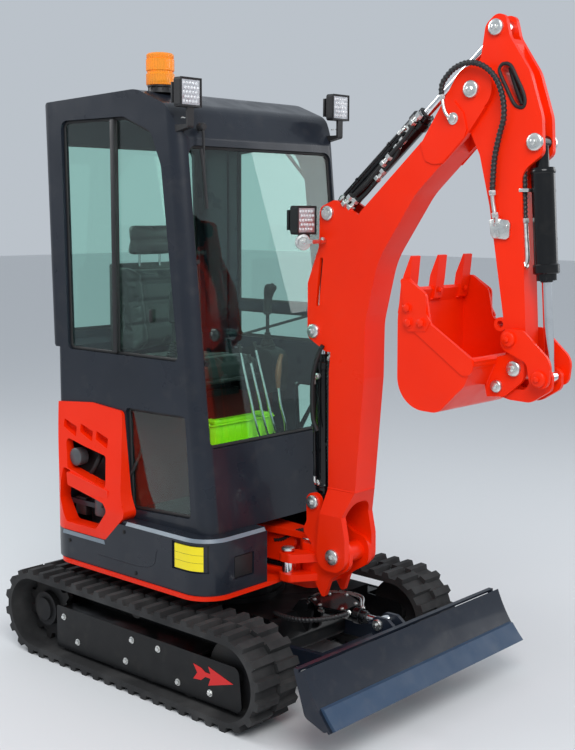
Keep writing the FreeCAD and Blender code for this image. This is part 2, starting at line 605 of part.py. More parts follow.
def cab():
    shell = cab_shell()
    outside = CAB_SIDE + 5
    inside = CAB_SIDE - CAB_WALL - 5
    tools = [plate("y", SIDE_WINDOW, -outside, -inside),
             plate("y", LOWER_WINDOW, -outside, -inside),
             plate("y", DOOR_OPENING, inside, outside),
             plate("x", windscreen_outline(), 60, 420),
             plate("x", REAR_WINDOW, CAB_REAR_TOP - 10, CAB_REAR + CAB_WALL),
             box(CAB_REAR - 10, CAB_REAR + CAB_WALL + 5, -BONNET[0], BONNET[0], BONNET[1], BONNET[2])]
    vent = [(-500, 690, 0), (-240, 690, 0), (-240, 1010, 0), (-500, 1010, 0)]
    tools += pair("y", vent, inside, outside)
    shell = cut(shell, tools)
    frame = shell.common(box(-700, 500, -600, 600, CAB_FLOOR, ROOF_SPLIT))
    roof = shell.common(box(-700, 500, -600, 600, ROOF_SPLIT, CAB_TOP + 100))
    hinges = []
    for z in HINGE_LEVELS:
        hinges += [box(-476, -440, CAB_SIDE - 5, HINGE[1] + 6, z - 44, z - 22), drum("z", HINGE, z - 44, z + 24, 6)]
        hinges.append(drum("z", HINGE, z - 44, z - 22, 11))
    for y in (-260, 260):
        hinges += [drum("y", BONNET_HINGE, y - 40, y + 40, 6), drum("y", BONNET_HINGE, y - 40, y - 18, 11),
                   box(BONNET_HINGE[0] - 3, CAB_REAR + 5, y - 40, y - 18, BONNET[2] + SWEEP, BONNET[2] + 36)]
    return fuse([frame] + hinges), roof


frame, roof = cab()
nodes["cab_frame"] = frame
nodes["cab_roof"] = roof


def panes():
    middle = CAB_SIDE - CAB_WALL / 2
    side = inset_plate("y", SIDE_WINDOW, -middle - GLASS / 2, -middle + GLASS / 2, GLASS_GAP)
    split = box(-184, -181, -CAB_SIDE, -CAB_SIDE + CAB_WALL, SILL, CAB_TOP)
    lower = inset_plate("y", LOWER_WINDOW, -middle - GLASS / 2, -middle + GLASS / 2, GLASS_GAP)
    rear = inset_plate("x", REAR_WINDOW, CAB_REAR_SILL + 5, CAB_REAR_SILL + 5 + GLASS, GLASS_GAP)
    lean = (358 - 206) / (CAB_TOP - 189 - CAB_FLOOR)
    low_x, high_x = [358 - CAB_WALL / 2 - lean * (z - CAB_FLOOR) for z in (900, HEADER)]
    slab = plate("y", [(low_x, 900, 0), (low_x + GLASS, 900, 0), (high_x + GLASS, HEADER, 0), (high_x, HEADER, 0)],
                 -CAB_SIDE, CAB_SIDE)
    front = slab.common(inset_plate("x", windscreen_outline(), 60, 420, GLASS_GAP))
    return Part.makeCompound(side.cut(split).Solids + [lower, rear, front])


nodes["cab_glass"] = panes()


# Door: hinged at its rear edge, the lower part narrow because the engine bay is behind it

def door():
    inner, outer = CAB_SIDE - 32, CAB_SIDE
    skin = inset_plate("y", DOOR_OPENING, inner, outer, SWEEP)
    skin = cut(skin, [plate("y", DOOR_WINDOW, inner, outer), plate("y", DOOR_LOW_WINDOW, inner, outer)])
    parts = [skin, box(-372, 134, inner + 8, outer - 8, *DOOR_BAR)]
    knuckles = []
    for z in HINGE_LEVELS:
        knuckles += [drum("z", HINGE, z - 22 + SIDE, z + 22, 11),
                     box(HINGE[0], DOOR_OPENING[0][0] + 30, CAB_SIDE + 1, HINGE[1] + 4, z - 22 + SIDE, z + 22),
                     box(DOOR_OPENING[0][0] + 10, DOOR_OPENING[0][0] + 30, CAB_SIDE - 8, CAB_SIDE + 2,
                         z - 22 + SIDE, z + 22)]
    body = fuse(parts + knuckles)
    body = cut(body, [drum("z", HINGE, z - 24, z + 26, 6 + RUN) for z in HINGE_LEVELS])
    handle = [drum("z", (78, outer + 30), 930, 1230, 9), box(70, 86, outer - 2, outer + 30, 940, 958),
              box(70, 86, outer - 2, outer + 30, 1202, 1220)]
    return fuse([body] + handle)


def door_panes():
    middle = CAB_SIDE - 16
    upper = inset_plate("y", DOOR_WINDOW, middle - GLASS / 2, middle + GLASS / 2, GLASS_GAP)
    lower = inset_plate("y", DOOR_LOW_WINDOW, middle - GLASS / 2, middle + GLASS / 2, GLASS_GAP)
    upper = upper.cut(box(-400, 200, 0, 600, DOOR_BAR[0] - GLASS_GAP, DOOR_BAR[1] + GLASS_GAP))
    return Part.makeCompound(upper.Solids + [lower])


nodes["door_frame"] = door()
nodes["door_glass"] = door_panes()


# Bonnet: the rear cover, hinged along its top

def bonnet():
    half, low, high = BONNET
    skin = [(-half + SWEEP, low + SWEEP, 20), (half - SWEEP, low + SWEEP, 20), (half - SWEEP, high - SWEEP, 20),
            (-half + SWEEP, high - SWEEP, 20)]
    rear = CAB_REAR - 14
    cover = plate("x", skin, rear, rear + 42)
    slots = [box(rear - 6, rear + 54, -250, 250, z, z + 18) for z in (800, 840, 880, 920)]
    knuckles = []
    for y in (-260, 260):
        knuckles += [drum("y", BONNET_HINGE, y - 18 + SIDE, y + 30, 11),
                     box(rear - 8, rear + 12, y - 18 + SIDE, y + 30, high - 40, BONNET_HINGE[1])]
    body = fuse([cut(cover, slots)] + knuckles)
    return cut(body, [drum("y", BONNET_HINGE, y - 30, y + 42, 6 + RUN) for y in (-260, 260)])


nodes["bonnet"] = bonnet()


# Engine side panels, one each side, with the diagonal bar and the vent slots

PANEL_TOP = COWL_SIDE - 50       # the panel's outer face at its top, from the middle
UPPER_HOLE = [(-474, 962, 18), (-446, 834, 12), (-188, 782, 12), (-205, 915, 16), (-351, 938, 60)]
LOWER_HOLE = [(-492, 697, 30), (-437, 606, 30), (-240, 606, 30), (-168, 694, 20), (-196, 722, 10), (-424, 770, 10),
              (-424, 826, 10), (-474, 834, 10)]
# rear and front edge of each vent, and its middle's height
VENTS = [(-496, -408, 1008), (-384, -300, 1000), (-278, -200, 982)]
BAR_TIP = -438.0                 # the diagonal bar stops short of the rear column


def side_panel():
    """A bowl-shaped panel: its face leans in towards the top and follows the cowl's round rear corner."""
    reach = COWL_SIDE + 12
    face = [(-CAB_SIDE, 500, 0), (-CAB_SIDE, 1150, 0), (-PANEL_TOP + 12, 1150, 0), (-PANEL_TOP, 1060, 90),
            (-COWL_SIDE, 700, 200), (-COWL_SIDE, 600, 60), (-COWL_SIDE + 8, 500, 0)]
    shell = plate("y", side_panel_corners(0), -reach, -CAB_SIDE).common(plate("x", face, -700, 0))
    shell = shell.common(plate("z", cowl_plan(0, 120), 500, 1200))
    tools = [plate("y", corners, -reach, -CAB_SIDE) for corners in (UPPER_HOLE, LOWER_HOLE)]
    for rear, front, level in VENTS:
        drop = (front - rear) * 0.16
        tools.append(plate("y", [(rear, level + 15 + drop, 4), (rear, level - 20 + drop, 4),
                                 (front, level - 24 - drop, 4), (front, level + 18 - drop, 4)], -reach, -CAB_SIDE))
    shell = cut(shell, tools)
    bar = plate("y", [(BAR_TIP, 822, 8), (BAR_TIP + 6, 764, 8), (-196, 722, 0), (-168, 720, 0), (-168, 778, 0)],
                -COWL_SIDE + 6, -COWL_SIDE + 36)
    return fuse([shell, bar])


right_panel = side_panel()
nodes["side_panels"] = both_sides(right_panel)


# Engine and what lies inside the cab

def engine():
    block = fuse([box(-520, -200, -330, 300, HOUSE_LOW + DECK, 860), box(-470, -260, -300, 250, 860, 980),
                  drum("y", (-360, 700), -400, -330, 90)])
    return block


def engine_cover():
    inner = CAB_SIDE - CAB_WALL
    top = box(CAB_REAR + CAB_WALL, -135, -inner, inner, COVER_TOP - 15, COVER_TOP)
    front = box(-150, -135, -inner, inner, CAB_FLOOR + 20, COVER_TOP - 15)
    return fuse([top, front])


def cab_floor():
    inner = CAB_SIDE - CAB_WALL
    return box(-135, 300, -inner, inner, CAB_FLOOR, CAB_FLOOR + 20)


def seat():
    base = fuse([box(-400, -80, -150, 150, COVER_TOP, 1150),
                 box(-380, -100, -120, 120, 1150, 1195)])
    cushion = plate("y", [(-500, 1195, 20), (10, 1195, 30), (20, SEAT_TOP, 40), (-500, SEAT_TOP, 0)], -215, 215)
    back = plate("y", [(-500, SEAT_TOP + SIDE, 0), (-365, SEAT_TOP + SIDE, 30), (-430, 1690, 40),
                       (-520, 1690, 40)], -210, 210)
    head = plate("y", [(-520, 1716, 20), (-455, 1716, 20), (-455, 1862, 30), (-510, 1862, 30)], -125, 125)
    posts = [drum("z", (-490, side * 60), 1680, 1730, 6) for side in (1, -1)]
    return base, cushion, fuse([back, head] + posts)


def consoles():
    pod = plate("y", [(-330, COVER_TOP, 0), (40, COVER_TOP, 30), (50, 1300, 50), (-60, 1325, 0), (-330, 1280, 40)],
                230, 330)
    return Part.makeCompound([pod, mirrored(pod)])


def levers():
    """Two joysticks on the consoles, and the travel and blade levers on the front plinth."""
    shapes = []
    for side in (1, -1):
        x, y = STICKS[0], side * STICKS[1]
        boot = plate("y", [(x - 42, 1306, 0), (x + 42, 1306, 0), (x + 16, 1382, 12), (x - 16, 1382, 12)],
                     y - 34, y + 34)
        stick = box(x - 8, x + 8, y - 8, y + 8, 1380, 1470)
        grip = plate("y", [(x - 20, 1465, 10), (x + 18, 1465, 10), (x + 26, 1580, 16), (x - 16, 1590, 16)],
                     y - 22, y + 22)
        shapes.append(fuse([boot, stick, grip]))
    # foot's Y, top's Y
    for y, top_y in ((-20, -110), (40, -45), (110, 90)):
        foot = V(220, y, 940)
        reach = V(-20, top_y - y, 390)
        shapes.append(Part.makeCylinder(7, 405, foot, reach))
    return Part.makeCompound(shapes)


def front_plinth():
    return plate("y", [(160, CAB_FLOOR + 20, 0), (296, CAB_FLOOR + 20, 0), (276, 940, 20), (180, 940, 20)], -300, 160)


base, cushion, backrest = seat()
nodes["engine"] = engine()
nodes["engine_cover"] = engine_cover()
nodes["cab_floor"] = cab_floor()
nodes["seat_base"] = base
nodes["seat_cushion"] = cushion
nodes["seat_back"] = backrest
nodes["consoles"] = consoles()
sticks = levers()
plinth = front_plinth()
nodes["front_plinth"] = plinth
nodes["levers"] = cut(sticks, [plinth, nodes["consoles"]])
nodes["front_tray"] = cut(box(190, 270, -290, 90, 940, 952), [sticks])


# Beacon and lamps

def beacon():
    centre = (-20, -350)
    low = CAB_TOP - 10
    return fuse([drum("z", centre, low, low + 30, 48), drum("z", centre, low + 30, low + 76, 56),
                 drum("z", centre, low + 76, low + 144, 49),
                 Part.makeCone(49, 40, 14, V(centre[0], centre[1], low + 144), V(0, 0, 1))])


LAMP = 110.0                     # width and height of a lamp


def lamp(x, y, z):
    """A square lamp facing forward, with its cooling fins as one block behind it; z is its lower edge."""
    half = LAMP / 2
    body = plate("x", [(y - half, z, 12), (y + half, z, 12), (y + half, z + LAMP, 12), (y - half, z + LAMP, 12)],
                 x, x + 34)
    return fuse([body, box(x - 20, x, y - 38, y + 38, z + 16, z + LAMP - 16)])


def roof_lamps():
    """Each lamp stands on a bent strap bolted to the front pillar's head."""
    shapes = []
    low = HEADER + 18
    for side in (1, -1):
        y = side * 440
        strap = plate("y", [(100, low - 104, 0), (190, low - 86, 10), (248, low - 74, 10), (248, low + 4, 0),
                            (238, low + 4, 0), (238, low - 62, 0), (100, low - 62, 0)], y - 16, y + 16)
        shapes.append(fuse([lamp(214, y, low), strap]))
    return shapes


nodes["beacon"] = cut(beacon(), [nodes["cab_roof"]])
nodes["roof_lamps"] = Part.makeCompound([cut(shape, [nodes["cab_frame"], nodes["cab_roof"]]).Solids[0]
                                         for shape in roof_lamps()])


# Swing bracket

def swing_bracket():
    side = [(540, BRACKET_HIGH, 0), (540, 470, 0), (575, 425, 0), (596, 394, 6), (612, 394, 6), (640, 470, 20),
            (738, 530, 50), (738, 630, 55), (660, 645, 40), (585, 690, 60),
            (BOOM_CYL_FOOT[0] + 37, BOOM_CYL_FOOT[1] + 37, 36), (BOOM_CYL_FOOT[0] - 37, BOOM_CYL_FOOT[1] + 37, 36),
            (BOOM_CYL_FOOT[0] - 34, 690, 30), (500, BRACKET_HIGH + 60, 20), (500, BRACKET_HIGH + 40, 0)]
    plates = pair("y", side, BRACKET_HALF - BRACKET_PLATE, BRACKET_HALF)
    boss = drum("z", KING, BRACKET_LOW, BRACKET_HIGH, KING_BOSS)
    core = box(KING[0] + 10, 600, -BRACKET_HALF + 5, BRACKET_HALF - 5, 440, BRACKET_HIGH - 6)
    tube_boss = drum("y", BOOM_FOOT, -BRACKET_HALF + 5, BRACKET_HALF - 5, 40)
    lugs = []
    deck_top = HOUSE_LOW + DECK
    for low, high in ((deck_top + SWEEP, SWING_Z - 24 - SIDE), (SWING_Z + 24 + SIDE, 564)):
        lug = [(SWING_EYE[0] - 34, SWING_EYE[1] - 34, 32), (SWING_EYE[0] + 40, SWING_EYE[1] - 34, 32),
               (574, -BRACKET_HALF, 0), (574, -BRACKET_HALF + 10, 0), (520, -BRACKET_HALF + 10, 0), (SWING_EYE[0] - 34, SWING_EYE[1] + 36, 32)]
        lugs.append(plate("z", lug, low, high))
    body = fuse(plates + [boss, core, tube_boss] + lugs)
    body = cut(body, [drum("z", KING, BRACKET_LOW, BRACKET_HIGH, KING_RADIUS + RUN)])
    swing_ends = [drum("z", SWING_EYE, deck_top + 3, SWING_Z - 24 - SIDE, SMALL_PIN * 1.3),
                  drum("z", SWING_EYE, SWING_Z + 24 + SIDE, 574, SMALL_PIN * 1.3)]
    pins = pin_with_heads(BOOM_FOOT, FORK_HALF, KING_RADIUS) + pin_with_heads(BOOM_CYL_FOOT, BRACKET_HALF - SIDE, PIN)
    return fuse([body] + swing_ends + pins)


nodes["swing_bracket"] = swing_bracket()


# Swing cylinder, level, on the right of the king pin

def swing_cylinder():
    start, end = V(SWING_FOOT[0], SWING_FOOT[1], SWING_Z), V(SWING_EYE[0], SWING_EYE[1], SWING_Z)
    barrel, rod = cylinder_pair((0, 0), ((end - start).Length, 0), 30, 270, 115, 30, 15, 24, 24, SMALL_PIN)
    yaw = math.degrees(math.atan2(end.y - start.y, end.x - start.x))
    for shape in (barrel, rod):
        shape.rotate(V(0, 0, 0), V(1, 0, 0), 90)
        shape.rotate(V(0, 0, 0), V(0, 0, 1), yaw)
        shape.translate(start)
    return barrel, rod


nodes["swing_cylinder_barrel"], nodes["swing_cylinder_rod"] = swing_cylinder()


# Boom: a box with cheeks that carry both cylinders, a fork at its foot and a clevis at its head

def boom():
    box_side = [(620, 836, 0), (618, 1300, 120), (648, 1650, 300), (752, 1905, 120), (1044, 2168, 0),
                (1190, 2310, 0), (1222, 2170, 0), (1017, 1980, 300), (850, 1735, 300), (793, 1500, 250),
                (791, 1286, 0), (754, 836, 0)]
    core = plate("y", box_side, -BOOM_HALF, BOOM_HALF)
    cheek = [(600, 1376, 30), (506, 1428, 30), (506, 1640, 30), (562, 1780, 60), (566, 1932, 30),
             (640, 1962, 30), (752, 1905, 0), (720, 1700, 0), (650, 1376, 0)]
    cheeks = pair("y", cheek, BOOM_HALF - BOOM_CHEEK, BOOM_HALF)
    slot = plate("y", [(548, 1550, 8), (564, 1550, 8), (584, 1740, 8), (568, 1740, 8)], -BOOM_HALF, BOOM_HALF)
    head = drum("y", ARM_PIVOT, -BOOM_HALF, BOOM_HALF, 80)
    neck = plate("y", [(1044, 2168, 0), (1186, 2388, 0), (1300, 2270, 0), (1222, 2170, 0)], -BOOM_HALF, BOOM_HALF)
    clevis_gap = [drum("y", ARM_PIVOT, -ARM_HALF - SIDE, ARM_HALF + SIDE, 98),
                  plate("y", [(1186, 2334, 0), (1172, 2090, 0), (1500, 1990, 0), (1500, 2440, 0)],
                        -ARM_HALF - SIDE, ARM_HALF + SIDE)]
    top = [(620, -BOOM_HALF), (754, -BOOM_HALF), (754, BOOM_HALF), (620, BOOM_HALF)]
    mid = [(605, -FORK_HALF), (716, -FORK_HALF), (716, FORK_HALF), (605, FORK_HALF)]
    flare = Part.makeLoft([Part.makePolygon([V(x, y, z) for x, y in corners + corners[:1]])
                           for corners, z in ((top, 838), (mid, 736))], True, True)
    fork_side = [(605, 738, 0), (594, 620, 40), (BOOM_FOOT[0] - 90, BOOM_FOOT[1] - 62, 60),
                 (BOOM_FOOT[0] + 62, BOOM_FOOT[1] - 62, 60), (735, 650, 60), (716, 738, 0)]
    fork = plate("y", fork_side, -FORK_HALF, FORK_HALF)
    arch = plate("x", [(-BRACKET_HALF - SIDE, 300, 0), (BRACKET_HALF + SIDE, 300, 0),
                       (BRACKET_HALF + SIDE, 792, 60), (-BRACKET_HALF - SIDE, 792, 60)], 500, 800)
    doubler = [(1036, 2158, 0), (1062, 2176, 30), (1116, 2208, 40), (1176, 2300, 0), (1216, 2256, 0),
               (1232, 2200, 0), (1222, 2172, 0), (1132, 2086, 20), (1092, 2084, 20), (1060, 2096, 30)]
    doublers = pair("y", doubler, BOOM_HALF - 2, BOOM_HALF + DOUBLER)
    body = fuse([core, head, neck] + cheeks + doublers)
    body = cut(body, [slot] + clevis_gap)
    body = fuse([body, cut(fuse([flare, fork]), [arch])])
    body = cut(body, [drum("y", BOOM_FOOT, -FORK_HALF, FORK_HALF, KING_RADIUS + RUN)])
    pins = pin_with_heads(ARM_PIVOT, BOOM_HALF - SIDE, PIN) + pin_with_heads(ARM_CYL_FOOT, BOOM_HALF - SIDE, PIN)
    pins += pin_ends(BOOM_CYL_EYE, BOOM_HALF - BOOM_CHEEK, BOOM_HALF, PIN)
    return fuse([body] + pins)


nodes["boom"] = boom()
boom_lamp = fuse([lamp(520, -BOOM_HALF - 65, 1828),
                  box(526, 556, -BOOM_HALF - 82, -BOOM_HALF - 48, 1796, 1832),
                  box(526, 600, -BOOM_HALF - 82, -BOOM_HALF, 1796, 1808)])
nodes["boom_lamp"] = cut(boom_lamp, [nodes["boom"]])


# Arm: a box with a slotted head for its own cylinder and a slotted ear for the bucket's

def arm():
    side = [(1327, 2584, 42), (1283, 2548, 40), (1266, 2430, 40), (1184, 2390, 64), (1180, 2290, 60),
            (1272, 2112, 60), (1317, 1938, 0), (1393, 1508, 0), (1399, 1400, 20), (1412, 1338, 40),
            (1482, 1342, 40), (1474, 1514, 60), (1454, 1817, 200), (1440, 2050, 60), (1520, 2108, 30),
            (1512, 2230, 120), (1461, 2381, 120), (1380, 2500, 60), (1360, 2572, 30)]
    body = plate("y", side, -ARM_HALF, ARM_HALF)
    hose_slot = plate("y", [(1366, 2412, 16), (1394, 2396, 16), (1444, 2282, 16), (1430, 2262, 16),
                            (1400, 2282, 16), (1346, 2388, 16)], -ARM_HALF, ARM_HALF)
    eye_slot = plate("y", [(1150, 2400, 0), (1262, 2400, 0), (1345, 2478, 0), (1400, 2500, 0), (1400, 2700, 0),
                           (1150, 2700, 0)],
                     -ARM_SLOT, ARM_SLOT)
    foot_slot = plate("y", [(1448, 2215, 30), (1448, 2100, 20), (1420, 1990, 0), (1600, 1990, 0), (1600, 2215, 0)],
                      -ARM_SLOT, ARM_SLOT)
    front_slot = plate("y", [(1390, 2495, 0), (1424, 2388, 60), (1470, 2270, 60), (1476, 2200, 0), (1600, 2200, 0),
                             (1600, 2600, 0), (1390, 2600, 0)], -ARM_SLOT, ARM_SLOT)
    body = cut(body, [hose_slot, eye_slot, foot_slot, front_slot,
                      drum("y", ARM_PIVOT, -ARM_HALF, ARM_HALF, PIN + RUN),
                      drum("y", BUCKET_PIVOT, -ARM_HALF, ARM_HALF, PIN + RUN)])
    thumb = tube("y", THUMB_EYE, -ARM_HALF, ARM_HALF, 24, THUMB_BORE)
    spacers = [drum("y", IDLER_PIVOT, ARM_HALF, IDLER_INNER - SIDE, 26),
               drum("y", IDLER_PIVOT, -IDLER_INNER + SIDE, -ARM_HALF, 26)]
    pins = pin_with_heads(BUCKET_CYL_FOOT, ARM_HALF - SIDE, SMALL_PIN)
    pins += pin_with_heads(IDLER_PIVOT, IDLER_OUTER, SMALL_PIN)
    pins += pin_ends(ARM_CYL_EYE, ARM_SLOT, ARM_HALF, PIN)
    body = fuse([body, thumb] + spacers + pins)
    return cut(body, [drum("y", THUMB_EYE, -ARM_HALF, ARM_HALF, THUMB_BORE)])


nodes["arm"] = arm()


# Bucket linkage: two idler plates outside the arm, and a curved coupler between the bucket's ears

def idler():
    side = [(IDLER_PIVOT[0] - 34, IDLER_PIVOT[1] + 34, 33), (IDLER_PIVOT[0] + 50, IDLER_PIVOT[1] + 34, 40),
            (LINK_PIN[0] + 44, LINK_PIN[1] + 60, 60), (LINK_PIN[0] + 34, LINK_PIN[1] - 34, 33),
            (LINK_PIN[0] - 34, LINK_PIN[1] - 34, 33), (1500, 1410, 30), (IDLER_PIVOT[0] - 34, IDLER_PIVOT[1] - 34, 33)]
    plates = pair("y", side, IDLER_INNER, IDLER_OUTER)
    holes = [drum("y", IDLER_PIVOT, -IDLER_OUTER, IDLER_OUTER, SMALL_PIN + RUN)]
    parts = [cut(shape, holes) for shape in plates]
    for shape in pin_ends(LINK_PIN, ARM_HALF, IDLER_OUTER, SMALL_PIN):
        parts.append(shape)
    left = fuse([parts[0], parts[2]])
    right = fuse([parts[1], parts[3]])
    return Part.makeCompound([left, right])


def coupler():
    side = [(LINK_PIN[0] + 30, LINK_PIN[1] + 30, 29), (LINK_PIN[0] + 30, LINK_PIN[1] - 40, 29),
            (1500, 1270, 50), (1418, 1272, 50), (BUCKET_LINK_PIN[0] - 30, BUCKET_LINK_PIN[1] - 30, 29),
            (BUCKET_LINK_PIN[0] - 30, BUCKET_LINK_PIN[1] + 30, 29), (BUCKET_LINK_PIN[0] + 20, BUCKET_LINK_PIN[1] + 22, 20),
            (1424, 1312, 24), (1480, 1312, 24), (LINK_PIN[0] - 30, LINK_PIN[1] + 30, 29)]
    plates = pair("y", side, ARM_SLOT, ARM_HALF - 2)
    boss = drum("y", BUCKET_LINK_PIN, -ARM_HALF, ARM_HALF, 28)
    body = fuse(plates + [boss])
    return cut(body, [drum("y", BUCKET_LINK_PIN, -ARM_HALF, ARM_HALF, SMALL_PIN + RUN)])


nodes["idler_links"] = idler()
nodes["coupler_link"] = coupler()


# Bucket, curled: floor, back and top plates round the load, side plates, ears and teeth

BUCKET_OUTSIDE = [(1052, 1540, 200), (1055, 1227, 115), (1230, 1222, 60), (1336, 1326, 20), (1378, 1416, 0)]


LIP = 1642.0          # top of the bucket's floor plate, between the side plates
TUBE = (1354.0, 1406.0)       # the tube across the top of the bucket's back
# the side cutter's and the side strip's outlines
CUTTER = [(1066, 1684, 8), (1099, 1682, 8), (1177, 1634, 20), (1179, 1567, 12), (1197, 1539, 12), (1180, 1506, 14),
          (1103, 1500, 14), (1080, 1528, 10), (1080, 1600, 0)]
STRIP = [(1128, 1500, 0), (1186, 1522, 0), (1192, 1533, 0), (1372, 1421, 20), (1372, 1368, 24), (1330, 1364, 20)]


def bucket():
    outside = BUCKET_OUTSIDE + [(1370, 1422, 0), (1192, 1533, 20), (1172, 1634, 30), (1099, 1684, 0),
                                (1066, 1684, 0)]
    block = plate("y", outside, -BUCKET_HALF, BUCKET_HALF)
    t = BUCKET_PLATE
    inside = [(1070, 1780, 0), (1052 + t, 1540, 190), (1055 + t, 1227 + t, 105), (1226, 1222 + t, 50),
              (1336 - t * 1.4, 1326 + t * 0.4, 12), (1378 - t * 1.1, 1424, 0), (1420, 1780, 0)]
    load = plate("y", inside, -BUCKET_HALF + t, BUCKET_HALF - t)
    front = box(1000, 1200, -BUCKET_HALF + t, BUCKET_HALF - t, LIP, 1800)
    ear = [(BUCKET_PIVOT[0] + 40, BUCKET_PIVOT[1] + 30, 36), (BUCKET_PIVOT[0] + 36, BUCKET_PIVOT[1] - 40, 36),
           (BUCKET_LINK_PIN[0] + 30, BUCKET_LINK_PIN[1] - 34, 30), (BUCKET_LINK_PIN[0] - 40, BUCKET_LINK_PIN[1] - 40, 0),
           (1326, 1320, 0), (1374, 1420, 0), (BUCKET_PIVOT[0] - 20, BUCKET_PIVOT[1] + 50, 30)]
    ears = pair("y", ear, EAR_INNER, EAR_OUTER)
    body = fuse([cut(block, [load, front])] + pair("y", CUTTER, BUCKET_HALF, BUCKET_HALF + 8)
                + pair("y", STRIP, BUCKET_HALF, BUCKET_HALF + DOUBLER))
    ears = [shape.cut(load) for shape in ears]
    tube = drum("y", TUBE, -BUCKET_HALF, BUCKET_HALF, 20)
    pins = pin_with_heads(BUCKET_PIVOT, EAR_OUTER - SIDE, PIN) + pin_with_heads(BUCKET_LINK_PIN, EAR_OUTER - SIDE, SMALL_PIN)
    return fuse([body, tube] + ears + pins)


def teeth():
    """A lip across the floor's edge, and three wedge teeth on their adapters."""
    half = BUCKET_HALF - BUCKET_PLATE
    lip = plate("y", [(1044, 1560, 0), (1052, 1556, 0), (1078, 1640, 0), (1076, 1650, 0), (1060, 1650, 0)], -half, half)
    shapes = [lip]
    for y in (-half + 30, 0, half - 30):
        shapes.append(plate("y", [(1050, 1600, 6), (1080, 1604, 6), (1092, 1680, 30), (1100, 1762, 0),
                                  (1093, 1764, 0), (1062, 1690, 30)], y - 25, y + 25))
    return fuse(shapes)


nodes["bucket_shell"] = bucket()
nodes["bucket_teeth"] = cut(teeth(), [nodes["bucket_shell"]])


# Cylinders in the boom's plane

barrel, rod = cylinder_pair(BOOM_CYL_FOOT, BOOM_CYL_EYE, 40, 560, 420, BARREL, ROD,
                            BRACKET_HALF - BRACKET_PLATE - SIDE, 30, PIN)
nodes["boom_cylinder_barrel"], nodes["boom_cylinder_rod"] = barrel, rod
barrel, rod = cylinder_pair(ARM_CYL_FOOT, ARM_CYL_EYE, 44, 520, 125, BARREL, ROD,
                            BOOM_HALF - BOOM_CHEEK - SIDE, ARM_SLOT - SIDE, PIN)
nodes["arm_cylinder_barrel"], nodes["arm_cylinder_rod"] = barrel, rod
barrel, rod = cylinder_pair(BUCKET_CYL_FOOT, LINK_PIN, 84, 440, 75, 40, 17, ARM_SLOT - SIDE, 21, SMALL_PIN)
nodes["bucket_cylinder_barrel"], nodes["bucket_cylinder_rod"] = barrel, rod


# The origin goes to the middle of the footprint, under the lugs

whole = FreeCAD.BoundBox()
for shape in nodes.values():
    whole.add(shape.BoundBox)
SHIFT = V(-whole.Center.x, -whole.Center.y, -whole.ZMin)

os.makedirs("parts", exist_ok=True)
for name, shape in nodes.items():
    shape.translate(SHIFT)
    shape.exportStep("parts/" + name + ".step")
print(len(nodes), "nodes, size", round(whole.XLength, 1), round(whole.YLength, 1), round(whole.ZLength, 1))
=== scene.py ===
# %% [markdown]
# A mini excavator, dressed for its picture.
# The solids come packed from the CAD source and are never moved here. This file gives each of them a
# finish and adds what a close look shows: bolts, seals, hoses, lamps, cushions, wiper and trim.
# Everything is in metres, X forward to the blade, Y left, Z up.

import json
import math

import bmesh
import bpy
from mathutils import Matrix, Vector


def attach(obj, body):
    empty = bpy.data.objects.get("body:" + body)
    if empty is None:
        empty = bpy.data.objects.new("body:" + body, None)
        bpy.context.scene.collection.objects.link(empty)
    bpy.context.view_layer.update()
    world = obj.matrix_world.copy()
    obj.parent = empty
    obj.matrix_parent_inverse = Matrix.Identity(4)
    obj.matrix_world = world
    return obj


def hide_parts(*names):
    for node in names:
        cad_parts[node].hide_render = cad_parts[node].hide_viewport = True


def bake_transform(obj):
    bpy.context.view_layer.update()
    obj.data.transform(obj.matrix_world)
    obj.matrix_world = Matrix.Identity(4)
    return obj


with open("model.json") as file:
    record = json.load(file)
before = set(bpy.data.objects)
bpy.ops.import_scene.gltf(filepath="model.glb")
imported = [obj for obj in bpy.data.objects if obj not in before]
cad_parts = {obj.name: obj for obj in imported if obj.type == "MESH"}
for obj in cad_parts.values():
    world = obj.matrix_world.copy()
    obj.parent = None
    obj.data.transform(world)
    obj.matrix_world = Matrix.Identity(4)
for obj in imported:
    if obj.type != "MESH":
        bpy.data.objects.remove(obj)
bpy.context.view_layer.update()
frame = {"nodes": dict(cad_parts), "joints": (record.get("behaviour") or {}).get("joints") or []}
nodes = frame["nodes"]
joints = {joint["name"]: joint for joint in frame["joints"]}
SLEW = Vector(joints["slew"]["pos_m"])

# %% [markdown]
# A maker measures such a machine from the axis that its upper body turns about, in millimetres.
# The places below are given that way, and one helper turns them into this scene's metres.

# %% Places about the slewing axis
MM = 0.001


def at(x, y, z):
    """A point given in millimetres from the slewing axis and the ground."""
    return Vector((SLEW.x + x * MM, y * MM, z * MM))


print("slewing axis at", at(0, 0, 0))

# %% [markdown]
# The camera stands at the machine's front right corner, a little above a person's eye, as in the photo.
# Its place and its turn were found by fitting the tracks', blade's and cab's edges to the picture.

# %% Camera
EYE = (3615.7, -3625.5, 1916.5)
YAW, PITCH, ROLL = 2.304748, -0.134804, 0.004066
FOCAL_PIXELS, PICTURE_HEIGHT, SENSOR = 1207.2, 750, 36.0


def make_camera():
    look = Vector((math.cos(YAW) * math.cos(PITCH), math.sin(YAW) * math.cos(PITCH), math.sin(PITCH)))
    level = look.cross(Vector((0, 0, 1))).normalized()
    above = level.cross(look)
    right = math.cos(ROLL) * level + math.sin(ROLL) * above
    up = math.cos(ROLL) * above - math.sin(ROLL) * level
    lens = bpy.data.cameras.new("camera")
    lens.sensor_width = SENSOR
    lens.lens = FOCAL_PIXELS / PICTURE_HEIGHT * SENSOR
    camera = bpy.data.objects.new("camera", lens)
    camera.matrix_world = Matrix((right, up, -look)).transposed().to_4x4()
    camera.location = at(*EYE)
    bpy.context.scene.collection.objects.link(camera)
    bpy.context.scene.camera = camera
    return camera


